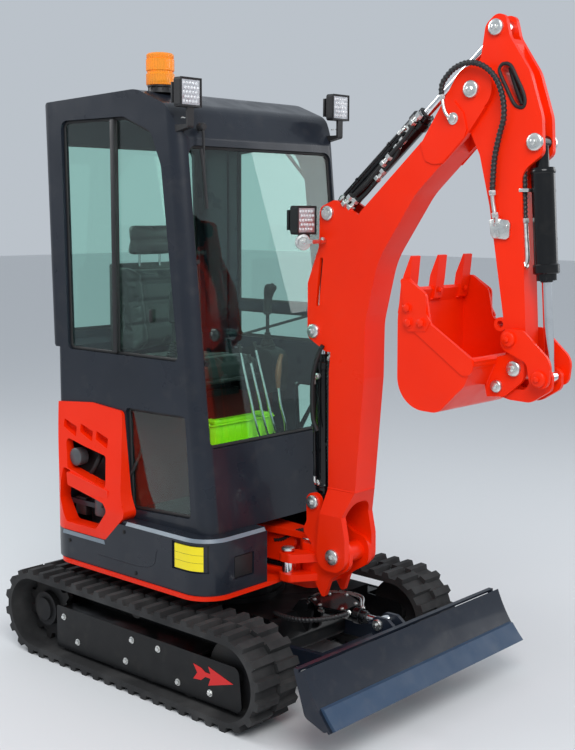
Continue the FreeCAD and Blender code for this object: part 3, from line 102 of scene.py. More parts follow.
camera = make_camera()
print("lens", round(camera.data.lens, 1), "mm at", [round(v, 3) for v in camera.location])

# %% [markdown]
# The light is a plain studio: one large soft source over the camera's shoulder, a weaker one from the
# other side and one behind, so that paint shows its colour and chrome has something to mirror.

# %% Studio
FLOOR_COLOUR, FLOOR_ROUGHNESS, FLOOR_REACH = (0.72, 0.73, 0.74, 1), 0.75, 40
WORLD_COLOUR, WORLD_STRENGTH = (0.80, 0.87, 0.95, 1), 0.62
LIGHTS_AIM = Vector((0, 0, 1.0))
# name, place in metres, size in metres, power in watts
SOFT_BOXES = [("key_light", (4.0, -3.5, 5.5), 3.5, 300),
              ("fill_light", (2.5, 5.0, 3.2), 3.0, 60),
              ("back_light", (-5.0, -2.0, 4.5), 3.0, 130)]


def make_studio():
    floor = bpy.data.meshes.new("floor")
    corners = [(u * FLOOR_REACH, v * FLOOR_REACH, 0) for u, v in ((-1, -1), (1, -1), (1, 1), (-1, 1))]
    floor.from_pydata(corners, [], [(0, 1, 2, 3)])
    ground = bpy.data.objects.new("floor", floor)
    bpy.context.scene.collection.objects.link(ground)
    surface = bpy.data.materials.new("pale floor")
    surface.use_nodes = True
    shader = surface.node_tree.nodes["Principled BSDF"]
    shader.inputs["Base Color"].default_value = FLOOR_COLOUR
    shader.inputs["Roughness"].default_value = FLOOR_ROUGHNESS
    floor.materials.append(surface)
    world = bpy.data.worlds.new("studio")
    bpy.context.scene.world = world
    world.use_nodes = True
    sky = world.node_tree.nodes["Background"]
    sky.inputs["Color"].default_value = WORLD_COLOUR
    sky.inputs["Strength"].default_value = WORLD_STRENGTH
    for name, place, size, power in SOFT_BOXES:
        lamp = bpy.data.lights.new(name, "AREA")
        lamp.size, lamp.energy = size, power
        source = bpy.data.objects.new(name, lamp)
        source.location = place
        source.rotation_euler = (LIGHTS_AIM - Vector(place)).to_track_quat("-Z", "Y").to_euler()
        bpy.context.scene.collection.objects.link(source)
    bpy.context.scene.view_settings.view_transform = "Standard"


make_studio()
print(len(SOFT_BOXES), "soft boxes")

# %% [markdown]
# Every finish starts from one shader. Small helpers add what the real surface shows: a slow change of
# tone, fine dust, an orange-peel bump on sprayed paint, a grain on moulded plastic or cast iron.

# %% Finish helpers
SHADER = "Principled BSDF"


def add_node(tree, kind, **values):
    """Adds a node. Each value is for a setting or, with spaces for underscores, for an input; it may be a link."""
    node = tree.nodes.new(kind)
    for name, value in values.items():
        if hasattr(node, name):
            setattr(node, name, value)
        elif isinstance(value, bpy.types.NodeSocket):
            tree.links.new(value, node.inputs[name.replace("_", " ")])
        else:
            node.inputs[name.replace("_", " ")].default_value = value
    return node


def colour(red, green, blue):
    """A colour as seen on a screen, 0 to 255, turned into the shader's linear values."""
    return tuple(((v / 255 + 0.055) / 1.055) ** 2.4 if v > 10 else v / 255 / 12.92
                 for v in (red, green, blue)) + (1,)


def start_finish(name, tone, roughness, **inputs):
    finish = bpy.data.materials.new(name)
    finish.use_nodes = True
    shader = finish.node_tree.nodes[SHADER]
    shader.inputs["Base Color"].default_value = tone
    shader.inputs["Roughness"].default_value = roughness
    for socket, value in inputs.items():
        shader.inputs[socket.replace("_", " ")].default_value = value
    return finish


def noise_in(finish, scale, detail=3, stretch=(1, 1, 1)):
    """A noise pattern on the object's own coordinates; returns its 0 to 1 output."""
    tree = finish.node_tree
    place = add_node(tree, "ShaderNodeTexCoord").outputs["Object"]
    mapped = add_node(tree, "ShaderNodeMapping", Scale=stretch, Vector=place).outputs["Vector"]
    return add_node(tree, "ShaderNodeTexNoise", Scale=scale, Detail=detail, Vector=mapped).outputs["Fac"]


def spread(finish, value, low, high, to_low=0.0, to_high=1.0):
    """Rescales a 0 to 1 value, cut off at both ends."""
    return add_node(finish.node_tree, "ShaderNodeMapRange", Value=value, From_Min=low, From_Max=high,
                    To_Min=to_low, To_Max=to_high).outputs["Result"]


def blend_colour(finish, share, tone):
    """Mixes another colour over what the shader's base colour has so far."""
    tree = finish.node_tree
    base = tree.nodes[SHADER].inputs["Base Color"]
    so_far = base.links[0].from_socket if base.is_linked else base.default_value
    mix = add_node(tree, "ShaderNodeMix", data_type="RGBA", A=so_far, B=tone, Factor=share)
    tree.links.new(mix.outputs["Result"], base)
    return finish


def bump_in(finish, height, strength, distance):
    """Adds a bump; a second one builds on the first."""
    tree = finish.node_tree
    normal = tree.nodes[SHADER].inputs["Normal"]
    bump = add_node(tree, "ShaderNodeBump", Strength=strength, Distance=distance, Height=height)
    if normal.is_linked:
        tree.links.new(normal.links[0].from_socket, bump.inputs["Normal"])
    tree.links.new(bump.outputs["Normal"], normal)
    return finish


def vary_roughness(finish, value):
    finish.node_tree.links.new(value, finish.node_tree.nodes[SHADER].inputs["Roughness"])
    return finish


print("finish helpers ready")

# %% [markdown]
# Sprayed paint on steel: a strong flat colour, a thin clear coat, and a very shallow orange peel. Dust
# settles on it in soft patches, and its gloss is a little duller here and there.

# %% Paint finishes
DUST = colour(150, 140, 128)


def paint(name, tone, deep, roughness, coat, dust):
    finish = start_finish(name, tone, roughness, Coat_Weight=coat, Coat_Roughness=0.08, Specular_IOR_Level=0.22)
    blend_colour(finish, spread(finish, noise_in(finish, 3, 4), 0.35, 0.75, 0, 0.55), deep)
    blend_colour(finish, spread(finish, noise_in(finish, 14, 6), 0.55, 0.85, 0, dust), DUST)
    vary_roughness(finish, spread(finish, noise_in(finish, 9, 5), 0.3, 0.75, roughness * 0.8, roughness * 1.5))
    bump_in(finish, noise_in(finish, 420, 2), 0.06, 0.0006)
    return finish


red_paint = paint("vermilion paint", colour(242, 42, 0), colour(228, 34, 0), 0.34, 0.05, 0.02)
slate_paint = paint("slate paint", colour(32, 37, 46), colour(25, 29, 37), 0.30, 0.25, 0.05)
black_paint = paint("black paint", colour(12, 13, 15), colour(8, 8, 10), 0.36, 0.10, 0.05)
barrel_paint = paint("gloss black paint", colour(12, 13, 15), colour(8, 8, 10), 0.2, 0.3, 0.04)
blade_paint = paint("blade paint", colour(27, 34, 46), colour(22, 27, 37), 0.38, 0.15, 0.06)
inner_paint = paint("dark red paint", colour(96, 26, 22), colour(70, 18, 16), 0.5, 0.1, 0.12)
print("paints ready")

# %% [markdown]
# Rubber, castings and plastics are told apart by their grain: rubber is dull with pale dust, cast iron
# has a coarse skin, moulded plastic a fine even grain.

# %% Rubber, iron and plastic finishes


def grained(name, tone, pale, roughness, grain_scale, grain_depth, dust, **inputs):
    finish = start_finish(name, tone, roughness, **inputs)
    blend_colour(finish, spread(finish, noise_in(finish, 6, 6), 0.42, 0.8, 0, dust), pale)
    vary_roughness(finish, spread(finish, noise_in(finish, 11, 4), 0.3, 0.7,
                                  roughness * 0.88, min(1, roughness * 1.15)))
    bump_in(finish, noise_in(finish, grain_scale, 3), 0.35, grain_depth)
    return finish


track_rubber = grained("track rubber", colour(28, 28, 29), colour(88, 87, 86), 0.78, 260, 0.0008, 0.45)
seal_rubber = grained("seal rubber", colour(15, 15, 16), colour(40, 40, 41), 0.6, 500, 0.0003, 0.3)
cast_iron = grained("dark castings", colour(30, 30, 32), colour(86, 80, 72), 0.62, 190, 0.0012, 0.35, Metallic=0.3)
engine_iron = grained("engine castings", colour(92, 95, 98), colour(50, 48, 46), 0.55, 150, 0.0012, 0.5,
                      Metallic=0.4)
black_plastic = grained("black plastic", colour(22, 22, 24), colour(48, 48, 50), 0.55, 900, 0.0003, 0.25)
floor_rubber = grained("floor mat", colour(14, 15, 15), colour(34, 34, 33), 0.85, 300, 0.0008, 0.5)
hose_rubber = grained("hose guard", colour(24, 24, 26), colour(64, 62, 60), 0.5, 500, 0.0003, 0.3)
vinyl = grained("black vinyl", colour(20, 22, 24), colour(44, 46, 50), 0.48, 650, 0.0006, 0.3,
                Sheen_Weight=0.15)
lime_plastic = grained("lime plastic", colour(172, 226, 26), colour(150, 205, 20), 0.4, 700, 0.0003, 0.4)
yellow_plastic = grained("yellow plate", colour(246, 226, 20), colour(226, 200, 16), 0.4, 600, 0.0002, 0.3)
red_mark = grained("red film", colour(216, 18, 16), colour(190, 18, 16), 0.4, 600, 0.0002, 0.3)
pale_mark = grained("pale film", colour(120, 132, 142), colour(92, 102, 112), 0.35, 600, 0.0002, 0.4)
brown_grip = grained("brown grip", colour(112, 66, 44), colour(80, 46, 32), 0.5, 500, 0.0004, 0.4)
print("rubber, iron and plastics ready")

# %% [markdown]
# Metals: chrome on the cylinders' rods, zinc plate on pin caps and fittings. The blade's wear strip is blue
# paint, already dull, in a lighter blue than the blade: that lighter tone is a painted reflection of the ground
# on the blade's lower band. Glass is a real slab that lets light through; its shadow is kept light, because a
# lamp can't find its way through a refracting slab.

# %% Metal, glass and lens finishes


def metal(name, tone, roughness, streak=(1, 1, 1), wear=0.0, dark=colour(90, 84, 76)):
    finish = start_finish(name, tone, roughness, Metallic=1.0)
    blend_colour(finish, spread(finish, noise_in(finish, 25, 5, streak), 0.5, 0.8, 0, wear), dark)
    vary_roughness(finish, spread(finish, noise_in(finish, 60, 4, streak), 0.3, 0.7,
                                  roughness * 0.7, roughness * 1.5))
    return finish


def glass(name, tone, tint, through=1.0):
    finish = start_finish(name, tone, 0.02, Transmission_Weight=through, IOR=1.45)
    tree = finish.node_tree
    mix = add_node(tree, "ShaderNodeMixShader", Fac=add_node(tree, "ShaderNodeLightPath").outputs["Is Shadow Ray"])
    tree.links.new(tree.nodes[SHADER].outputs["BSDF"], mix.inputs[1])
    tree.links.new(add_node(tree, "ShaderNodeBsdfTransparent", Color=tint).outputs["BSDF"], mix.inputs[2])
    tree.links.new(mix.outputs["Shader"], tree.nodes["Material Output"].inputs["Surface"])
    vary_roughness(finish, spread(finish, noise_in(finish, 5, 4), 0.4, 0.9, 0.0, 0.05))
    return finish


chrome = metal("chrome", colour(226, 228, 230), 0.10, (1, 1, 1), 0.2)
zinc = metal("zinc plate", colour(222, 223, 220), 0.3, (1, 1, 1), 0.25)
# the cutting edge's blue is lighter than the blade's: a painted reflection of the ground over its own blue paint
edge_paint_with_painted_reflection = paint("blue edge paint with painted reflection", colour(54, 74, 98), colour(46, 64, 86), 0.45, 0.05, 0.08)
pane_glass = glass("green tinted glass", (0.70, 0.92, 0.85, 1), (0.76, 0.92, 0.87, 1))
amber_lens = glass("amber lens", (1.0, 0.36, 0.03, 1), (1.0, 0.6, 0.2, 1), 0.25)
clear_lens = glass("clear lens", (0.96, 0.97, 0.98, 1), (0.96, 0.97, 0.98, 1), 0.5)
reflector = metal("lamp reflector", colour(196, 198, 202), 0.6, (1, 1, 1), 0.1)
print("metals and glass ready")

# %% [markdown]
# Each solid from the CAD source keeps its shape and takes one of the finishes above.

# %% Finishes on the solids
FINISH_OF = {
    track_rubber: ["track_left", "track_right"],
    black_paint: ["track_frames", "centre_frame", "seat_base"],
    barrel_paint: ["boom_cylinder_barrel", "arm_cylinder_barrel", "bucket_cylinder_barrel",
                   "blade_cylinder_barrel", "swing_cylinder_barrel"],
    cast_iron: ["sprockets", "idlers_and_rollers"],
    blade_paint: ["blade"],
    # the blade's edge takes the lighter blue with the painted reflection of the ground
    edge_paint_with_painted_reflection: ["blade_edge"],
    red_paint: ["deck", "side_panels", "swing_bracket", "boom", "arm", "idler_links", "coupler_link",
                "bucket_shell", "bucket_teeth"],
    slate_paint: ["cowl", "cab_frame", "cab_roof", "door_frame", "bonnet"],
    inner_paint: ["engine_cover", "front_plinth"],
    pane_glass: ["cab_glass", "door_glass"],
    chrome: ["boom_cylinder_rod", "arm_cylinder_rod", "bucket_cylinder_rod", "blade_cylinder_rod",
             "swing_cylinder_rod"],
    zinc: ["levers"],
    black_plastic: ["consoles", "boom_lamp", "roof_lamps"],
    floor_rubber: ["cab_floor"],
    engine_iron: ["engine"],
    vinyl: ["seat_cushion", "seat_back"],
    lime_plastic: ["front_tray"],
    amber_lens: ["beacon"],
}
for finish, names in FINISH_OF.items():
    for name in names:
        nodes[name].data.materials.clear()
        nodes[name].data.materials.append(finish)
bare = sorted(set(nodes) - {name for names in FINISH_OF.values() for name in names})
print("solids with no finish yet:", bare)

# %% [markdown]
# An added piece is a mesh whose corners are already in their place, so its object stays at the origin.
# One helper gives it a finish and lets it ride on a body of the machine.

# %% Adding a piece
SHARP_EDGE = math.radians(38)


def add_piece(name, shape, finish, body=None):
    """Turns a shape, from bmesh or as a mesh, into a named piece that rides on a body."""
    mesh = shape
    if isinstance(shape, bmesh.types.BMesh):
        bmesh.ops.recalc_face_normals(shape, faces=shape.faces)
        mesh = bpy.data.meshes.new(name)
        shape.to_mesh(mesh)
        shape.free()
    mesh.name = name
    mesh.materials.clear()
    mesh.materials.append(finish)
    mesh.shade_smooth()
    mesh.set_sharp_from_angle(angle=SHARP_EDGE)
    piece = bpy.data.objects.new(name, mesh)
    bpy.context.scene.collection.objects.link(piece)
    if body:
        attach(piece, body)
    return piece


print("pieces can be added")

# %% [markdown]
# Three shapes cover most of the trim. A turned part is a profile spun about an axis, like a cap from a
# lathe. A plate is an outline with a thickness and softened edges. A pipe is a ring carried along a path.

# %% Turned parts, plates and pipes


def turned(shape, profile, place, axis, steps=32):
    """Spins a profile of (radius, height) in millimetres about an axis; it starts and ends on the axis."""
    turn = Vector((0, 0, 1)).rotation_difference(Vector(axis).normalized()).to_matrix()
    rings = []
    for radius, height in profile:
        count = steps if radius > 0 else 1
        rings.append([shape.verts.new(place + turn @ Vector((radius * math.cos(i / steps * math.tau) * MM,
                                                             radius * math.sin(i / steps * math.tau) * MM,
                                                             height * MM))) for i in range(count)])
    for low, high in zip(rings, rings[1:]):
        for i in range(steps):
            corners = [low[i % len(low)], low[(i + 1) % steps % len(low)], high[(i + 1) % steps % len(high)],
                       high[i % len(high)]]
            corners = list(dict.fromkeys(corners))
            if len(corners) > 2:
                shape.faces.new(corners)
    return shape


def plate(shape, axis, corners, low, high, soft=0.0):
    """A flat piece: corners (u, v) in a plane across an axis, from low to high along it, in millimetres."""
    place = {"x": lambda u, v, w: at(w, u, v), "y": lambda u, v, w: at(u, w, v)}[axis]
    bottom = [shape.verts.new(place(u, v, low)) for u, v in corners]
    top = [shape.verts.new(place(u, v, high)) for u, v in corners]
    faces = [shape.faces.new(bottom), shape.faces.new(top[::-1])]
    for i in range(len(corners)):
        j = (i + 1) % len(corners)
        faces.append(shape.faces.new((bottom[i], top[i], top[j], bottom[j])))
    if soft:
        edges = list({edge for face in faces for edge in face.edges})
        bmesh.ops.recalc_face_normals(shape, faces=faces)
        bmesh.ops.bevel(shape, geom=edges, offset=soft * MM, segments=2, profile=0.5, affect="EDGES")
    return shape


def block(shape, x0, x1, y0, y1, z0, z1, soft=1.5):
    return plate(shape, "x", [(y0, z0), (y1, z0), (y1, z1), (y0, z1)], x0, x1, soft)


def smooth_path(points, step=6.0):
    """Points about a step apart, in millimetres, on a smooth line through the given points."""
    line = [Vector(p) for p in points]
    line = [line[0] * 2 - line[1]] + line + [line[-1] * 2 - line[-2]]
    path = []
    for a, b, c, d in zip(line, line[1:], line[2:], line[3:]):
        count = max(2, round((c - b).length / step))
        for i in range(count):
            t = i / count
            path.append(0.5 * (2 * b + (c - a) * t + (2 * a - 5 * b + 4 * c - d) * t * t
                               + (3 * b - a - 3 * c + d) * t ** 3))
    return path + [line[-2]]


def pipe(shape, path, radius, sides=12):
    """Carries a ring along a path; radius is a number, or a function of the distance and the angle."""
    size = radius if callable(radius) else lambda distance, angle: radius
    across = (path[1] - path[0]).orthogonal().normalized()
    distance, rings = 0.0, []
    for i, here in enumerate(path):
        ahead = (path[min(i + 1, len(path) - 1)] - path[max(i - 1, 0)]).normalized()
        across = (across - ahead * across.dot(ahead)).normalized()
        up = ahead.cross(across)
        distance += (here - path[i - 1]).length if i else 0
        ring = []
        for k in range(sides):
            angle = k / sides * math.tau
            point = here + (across * math.cos(angle) + up * math.sin(angle)) * size(distance, angle)
            ring.append(shape.verts.new(at(*point)))
        rings.append(ring)
    for low, high in zip(rings, rings[1:]):
        for k in range(sides):
            shape.faces.new((low[k], low[(k + 1) % sides], high[(k + 1) % sides], high[k]))
    shape.faces.new(rings[0][::-1])
    shape.faces.new(rings[-1])
    return shape


def tube(shape, points, radius, sides=12, step=6.0):
    return pipe(shape, smooth_path(points, step), radius, sides)


def build(name, finish, body, *parts):
    """One piece out of several shapes; each part is a shape's function and what it takes."""
    shape = bmesh.new()
    for make, *values in parts:
        make(shape, *values)
    return add_piece(name, shape, finish, body)


print("shapes ready")

# %% [markdown]
# What repeats is grown by Geometry Nodes: a mesh of bare points says where, an attribute named aim says
# which way, and the tree puts one small shape on each. The result is then turned into a plain mesh.

# %% A tree that puts a shape on every point


def start_tree(name, sizes):
    tree = bpy.data.node_groups.new(name, "GeometryNodeTree")
    tree.interface.new_socket("Points", in_out="INPUT", socket_type="NodeSocketGeometry")
    for size, value in sizes.items():
        socket = tree.interface.new_socket(size, in_out="INPUT", socket_type="NodeSocketFloat")
        socket.default_value = value
    tree.interface.new_socket("Finish", in_out="INPUT", socket_type="NodeSocketMaterial")
    tree.interface.new_socket("Geometry", in_out="OUTPUT", socket_type="NodeSocketGeometry")
    return tree, tree.nodes.new("NodeGroupInput"), tree.nodes.new("NodeGroupOutput")


def finish_tree(tree, given, result, shape):
    """Puts the shape on the points, turned to their aim and spun at random with a fixed seed."""
    aim = add_node(tree, "GeometryNodeInputNamedAttribute", data_type="FLOAT_VECTOR", Name="aim")
    aimed = next(s for s in aim.outputs if s.type == "VECTOR" and s.enabled)
    chance = add_node(tree, "FunctionNodeRandomValue", data_type="FLOAT", Seed=7)
    limit = next(s for s in chance.inputs if s.name == "Max" and s.type == "VALUE" and s.enabled)
    tree.links.new(given.outputs["Spin"], limit)
    amount = next(s for s in chance.outputs if s.type == "VALUE" and s.enabled)
    spin = add_node(tree, "FunctionNodeAxisAngleToRotation", Axis=(0, 0, 1), Angle=amount)
    align = add_node(tree, "FunctionNodeAlignRotationToVector", axis="Z", Rotation=spin.outputs["Rotation"],
                     Vector=aimed)
    put = add_node(tree, "GeometryNodeInstanceOnPoints", Points=given.outputs["Points"], Instance=shape,
                   Rotation=align.outputs["Rotation"])
    realize = add_node(tree, "GeometryNodeRealizeInstances", Geometry=put.outputs["Instances"])
    coat = add_node(tree, "GeometryNodeSetMaterial", Geometry=realize.outputs["Geometry"],
                    Material=given.outputs["Finish"])
    tree.links.new(coat.outputs["Geometry"], result.inputs["Geometry"])
    return tree


def bolt_tree():
    """A washer, and on it a hexagon head with a chamfered top."""
    tree, given, result = start_tree("bolts", {"Head radius": 0.01, "Head height": 0.007, "Washer radius": 0.014,
                                               "Washer height": 0.002, "Spin": math.tau})
    size = given.outputs

    def cone(sides, low, high, depth):
        return add_node(tree, "GeometryNodeMeshCone", Vertices=sides, Radius_Bottom=low, Radius_Top=high,
                        Depth=depth).outputs["Mesh"]

    def share_of(value, share):
        product = add_node(tree, "ShaderNodeMath", operation="MULTIPLY")
        tree.links.new(value, product.inputs[0])
        product.inputs[1].default_value = share
        return product.outputs[0]

    washer = cone(20, size["Washer radius"], size["Washer radius"], size["Washer height"])
    head = cone(6, size["Head radius"], size["Head radius"], size["Head height"])
    top = cone(6, size["Head radius"], share_of(size["Head radius"], 0.78), share_of(size["Head height"], 0.22))
    lift = add_node(tree, "ShaderNodeCombineXYZ", Z=size["Head height"]).outputs["Vector"]
    raised = add_node(tree, "GeometryNodeTransform", Geometry=top, Translation=lift).outputs["Geometry"]
    join = add_node(tree, "GeometryNodeJoinGeometry")
    for part in (washer, head, raised):
        tree.links.new(part, join.inputs["Geometry"])
    return finish_tree(tree, given, result, join.outputs["Geometry"])


def bead_tree():
    """A flattened bead: the ripple of a weld, a rivet or a lamp's small lens."""
    tree, given, result = start_tree("beads", {"Radius": 0.004, "Height": 0.002, "Spin": 0.0})
    ball = add_node(tree, "GeometryNodeMeshUVSphere", Segments=10, Rings=6, Radius=1).outputs["Mesh"]
    wide, high = given.outputs["Radius"], given.outputs["Height"]
    size = add_node(tree, "ShaderNodeCombineXYZ", X=wide, Y=wide, Z=high).outputs["Vector"]
    squeezed = add_node(tree, "GeometryNodeTransform", Geometry=ball, Scale=size).outputs["Geometry"]
    return finish_tree(tree, given, result, squeezed)


def wire_tree():
    """A straight wire that lies along its point's aim."""
    tree, given, result = start_tree("wires", {"Radius": 0.001, "Length": 0.1, "Spin": 0.0})
    wire = add_node(tree, "GeometryNodeMeshCylinder", Vertices=6, Radius=given.outputs["Radius"],
                    Depth=given.outputs["Length"])
    return finish_tree(tree, given, result, wire.outputs["Mesh"])


BOLTS, BEADS, WIRES = bolt_tree(), bead_tree(), wire_tree()
print("trees:", [tree.name for tree in (BOLTS, BEADS, WIRES)])

# %% Growing a tree's pieces


def grow(name, tree, rows, sizes, finish, body):
    """rows are pairs of a point and an aim; sizes are given in millimetres."""
    points = bpy.data.meshes.new(name)
    points.from_pydata([place for place, _ in rows], [], [])
    aims = points.attributes.new("aim", "FLOAT_VECTOR", "POINT")
    aims.data.foreach_set("vector", [v for _, aim in rows for v in aim])
    carrier = bpy.data.objects.new(name, points)
    bpy.context.scene.collection.objects.link(carrier)
    modifier = carrier.modifiers.new("grow", "NODES")
    modifier.node_group = tree
    for item in tree.interface.items_tree:
        if item.name in sizes:
            modifier[item.identifier] = sizes[item.name] * MM
        if item.name == "Finish":
            modifier[item.identifier] = finish
    ready = carrier.evaluated_get(bpy.context.evaluated_depsgraph_get())
    mesh = bpy.data.meshes.new_from_object(ready)
    carrier.modifiers.remove(modifier)
    bpy.data.objects.remove(carrier)
    return add_piece(name, mesh, finish, body)


RIGHT, LEFT, UP, FRONT, REAR = (0, -1, 0), (0, 1, 0), (0, 0, 1), (1, 0, 0), (-1, 0, 0)
print("growing helper ready")

# %% [markdown]
# Each joint of the digging gear shows the end of its steel pin: a domed, plated cap with a bolt in its
# middle. At the bucket's links the caps are painted over. A cap is turned, so a profile makes it whole.

# %% Pin caps
# X and Z of the pin, distance of its plate from the middle, cap radius, body, painted or not
PINS = [(675, 575, 98.3, 31, "swing_bracket", False), (549, 770, 70, 28, "swing_bracket", False),
        (540, 1453, 62, 28, "boom", False), (608, 1910, 62, 28, "boom", False),
        (1246, 2334, 62, 30, "boom", False), (1327, 2535, 42, 28, "arm", False),
        (1490, 2148, 42, 30, "arm", False), (1430, 1487, 74.3, 26, "arm", True),
        (1550, 1360, 74, 28, "idler", True), (1377, 1318, 58, 22, "bucket", False),
        (1444, 1385, 58, 27, "bucket", False)]


CAP_HEIGHT, BOLT_SINK = 14.5, 0.1


def pin_cap(shape, place, axis, radius):
    crown = [(0, -0.5), (radius, -0.5), (radius, CAP_HEIGHT - 5), (radius - 1.5, CAP_HEIGHT - 2.6),
             (radius * 0.82, CAP_HEIGHT - 1), (radius * 0.66, CAP_HEIGHT - 0.2), (radius * 0.5, CAP_HEIGHT),
             (0, CAP_HEIGHT)]
    return turned(shape, crown, place, axis)


for painted in (False, True):
    for body in sorted({row[4] for row in PINS if row[5] == painted}):
        shape, heads = bmesh.new(), []
        for x, z, face, radius, rider, coat in PINS:
            if rider == body and coat == painted:
                for side in (-1, 1):
                    pin_cap(shape, at(x, side * face, z), (0, side, 0), radius)
                    heads.append((at(x, side * (face + CAP_HEIGHT - BOLT_SINK), z), (0, side, 0)))
        finish = red_paint if painted else zinc
        label = body + ("_painted_caps" if painted else "_pin_caps")
        add_piece(label, shape, finish, body)
        grow(label + "_bolts", BOLTS, heads, {"Head radius": 10.5, "Head height": 7, "Washer radius": 12.5,
                                             "Washer height": 1.2}, finish, body)
print(2 * len(PINS), "pin caps")

# %% [markdown]
# The upright pins of the swing bracket and the blade's pins have plain plated heads. They stand where the
# solids have theirs, a little larger, so that each covers the solid one.

# %% Upright pins and blade pins
build("bracket_upright_caps", zinc, "swing_bracket",
      (turned, [(0, 0), (27, 0), (27, 8), (24, 11), (12, 12.5), (0, 12.5)], at(470, -130, 573), UP),
      (turned, [(0, 0), (46, 0), (46, 5), (42, 8), (26, 9), (24, 14), (0, 15)], at(480, 0, 599.8), UP))
shape, heads = bmesh.new(), []
for x, z, face in ((450, 175, 226), (860, 330, 40)):
    for side in (-1, 1):
        turned(shape, [(0, -0.5), (22, -0.5), (22, 9), (19, 13.5), (0, 14)], at(x, side * face, z), (0, side, 0))
        heads.append((at(x, side * (face + 13.8), z), (0, side, 0)))
add_piece("blade_pin_caps", shape, zinc, "blade")
grow("blade_pin_bolts", BOLTS, heads, {"Head radius": 9, "Head height": 6, "Washer radius": 11, "Washer height": 1},
     zinc, "blade")
print("upright and blade pins done")

# %% [markdown]
# Bolts hold the covers, the track frames and the bucket's side cutters. Each is one row of a table, and the
# bolt tree grows the whole set of one body at once, so that it stays one mesh.

# %% Bolts
FRAME_BOLTS = [(x, side * y, z, (0, side, 0)) for side, y in ((-1, 570), (1, 570))
               for x, z in ((-328, 106), (21, 202), (178, 204), (-18, 104), (292, 99), (-420, 196), (470, 104))]
GUARD_BOLTS = [(540, -46, 362, UP), (540, 46, 362, UP), (600, -84, 362, UP), (600, 84, 362, UP),
               (696, -62, 362, UP), (696, 24, 362, UP)]
COWL_BOLTS = [(x, side * 535, z, (0, side, 0)) for side in (-1, 1)
              for x, z in ((-60, 627), (-414, 527), (10, 470))]
CUTTER_BOLTS = [(x, side * 211, z, (0, side, 0)) for side in (-1, 1)
                for x, z in ((1099, 1583), (1106, 1531), (1160, 1534))]
TOOTH_BOLTS = [(1089, y, 1636, (0.99, 0, -0.1)) for y in (-163, 0, 163)]
PLINTH_BOLTS = [(158, y, z, REAR) for y in (-270, 130) for z in (760, 900)]
LAMP_BOLTS = [(x, side * 440, 2264, UP) for side in (-1, 1) for x in (205, 230)]
HOUSE_BOLTS = [(-574.5, y, z, REAR) for y in (-430, 430) for z in (700, 1180)]

BOLT_SETS = [("undercarriage", "frame_bolts", FRAME_BOLTS, 10, 8, 14, zinc),
             ("blade_barrel", "guard_bolts", GUARD_BOLTS, 6, 4, 8, zinc),
             ("house", "cowl_bolts", COWL_BOLTS + HOUSE_BOLTS, 6, 4, 9, seal_rubber),
             ("house", "lamp_bolts", LAMP_BOLTS, 6, 4, 8, zinc),
             ("house", "plinth_bolts", PLINTH_BOLTS, 5, 4, 8, zinc),
             ("bucket", "cutter_bolts", CUTTER_BOLTS, 15, 10, 20, red_paint),
             ("bucket", "tooth_bolts", TOOTH_BOLTS, 8, 6, 11, red_paint)]
for body, name, rows, head, height, washer, finish in BOLT_SETS:
    grow(name, BOLTS, [(at(x, y, z), aim) for x, y, z, aim in rows],
         {"Head radius": head, "Head height": height, "Washer radius": washer, "Washer height": 2}, finish, body)
print(sum(len(row[2]) for row in BOLT_SETS), "bolts")

# %% [markdown]
# Welders leave a rippled bead where plates meet. A row of overlapping flat beads gives that ripple, and it
# is thin enough to be seen only as a line from a distance, as on the real bucket and boom.

# %% Weld beads


def seam(points, step=4.0):
    """Places every few millimetres along straight runs."""
    places = []
    for a, b in zip(points, points[1:]):
        a, b = Vector(a), Vector(b)
        count = max(1, round((b - a).length / step))
        places += [a.lerp(b, i / count) for i in range(count)]
    return places


WELDS = {"bucket": [([(1180, side * 203, 1506), (1128, side * 203, 1500), (1330, side * 203, 1364)], (0, side, 0))
                    for side in (-1, 1)]
                   + [([(1062, y, 1602), (1077, y, 1604)], FRONT) for y in (-188, -138, -25, 25, 138, 188)]
                   + [([(1336, side * 60, 1322), (1374, side * 60, 1414)], (0.4, side, 0.4)) for side in (-1, 1)],
         "boom": [([(1036, side * 62, 2158), (1060, side * 62, 2096), (1092, side * 62, 2084),
                    (1132, side * 62, 2086), (1222, side * 62, 2172)], (0, side, 0)) for side in (-1, 1)]
                 + [([(620, side * 62.5, 838), (754, side * 62.5, 838)], (0, side, 0.3)) for side in (-1, 1)]
                 + [([(755, -62, 838), (755, 62, 838)], (1, 0, 0.3))],
         "blade": [([(960, side * 200, 225), (1040, side * 200, 190)], (0, -side, 0.2)) for side in (-1, 1)]}
for body, runs in WELDS.items():
    rows = [(at(*place), aim) for points, aim in runs for place in seam(points)]
    grow(body + "_welds", BEADS, rows, {"Radius": 3.6, "Height": 2.0}, blade_paint if body == "blade" else red_paint,
         body)
print("welds on", list(WELDS))

# %% [markdown]
# Rubber seals frame every pane. The rim of a pane is read from its solid: the edges that only one triangle
# of the pane's flat face uses. A small rounded section is then carried round that rim, on both faces.

# %% Window seals


def flat_faces(node):
    """The two large flat faces of every separate pane in a node, each as its rim and its normal."""
    shape = bmesh.new()
    shape.from_mesh(nodes[node].data)
    bmesh.ops.remove_doubles(shape, verts=shape.verts, dist=1e-6)
    left, found = set(shape.faces), []
    while left:
        island, waiting = set(), [next(iter(left))]
        while waiting:
            face = waiting.pop()
            if face not in island:
                island.add(face)
                waiting += [other for edge in face.edges for other in edge.link_faces if other not in island]
        left -= island
        planes = {}
        for face in island:
            key = tuple(round(v, 2) for v in face.normal) + (round(face.normal.dot(face.verts[0].co), 3),)
            planes.setdefault(key, []).append(face)
        large = sorted(planes.values(), key=lambda faces: -sum(face.calc_area() for face in faces))[:2]
        found += [(rim(faces), faces[0].normal.copy()) for faces in large]
    shape.free()
    return found


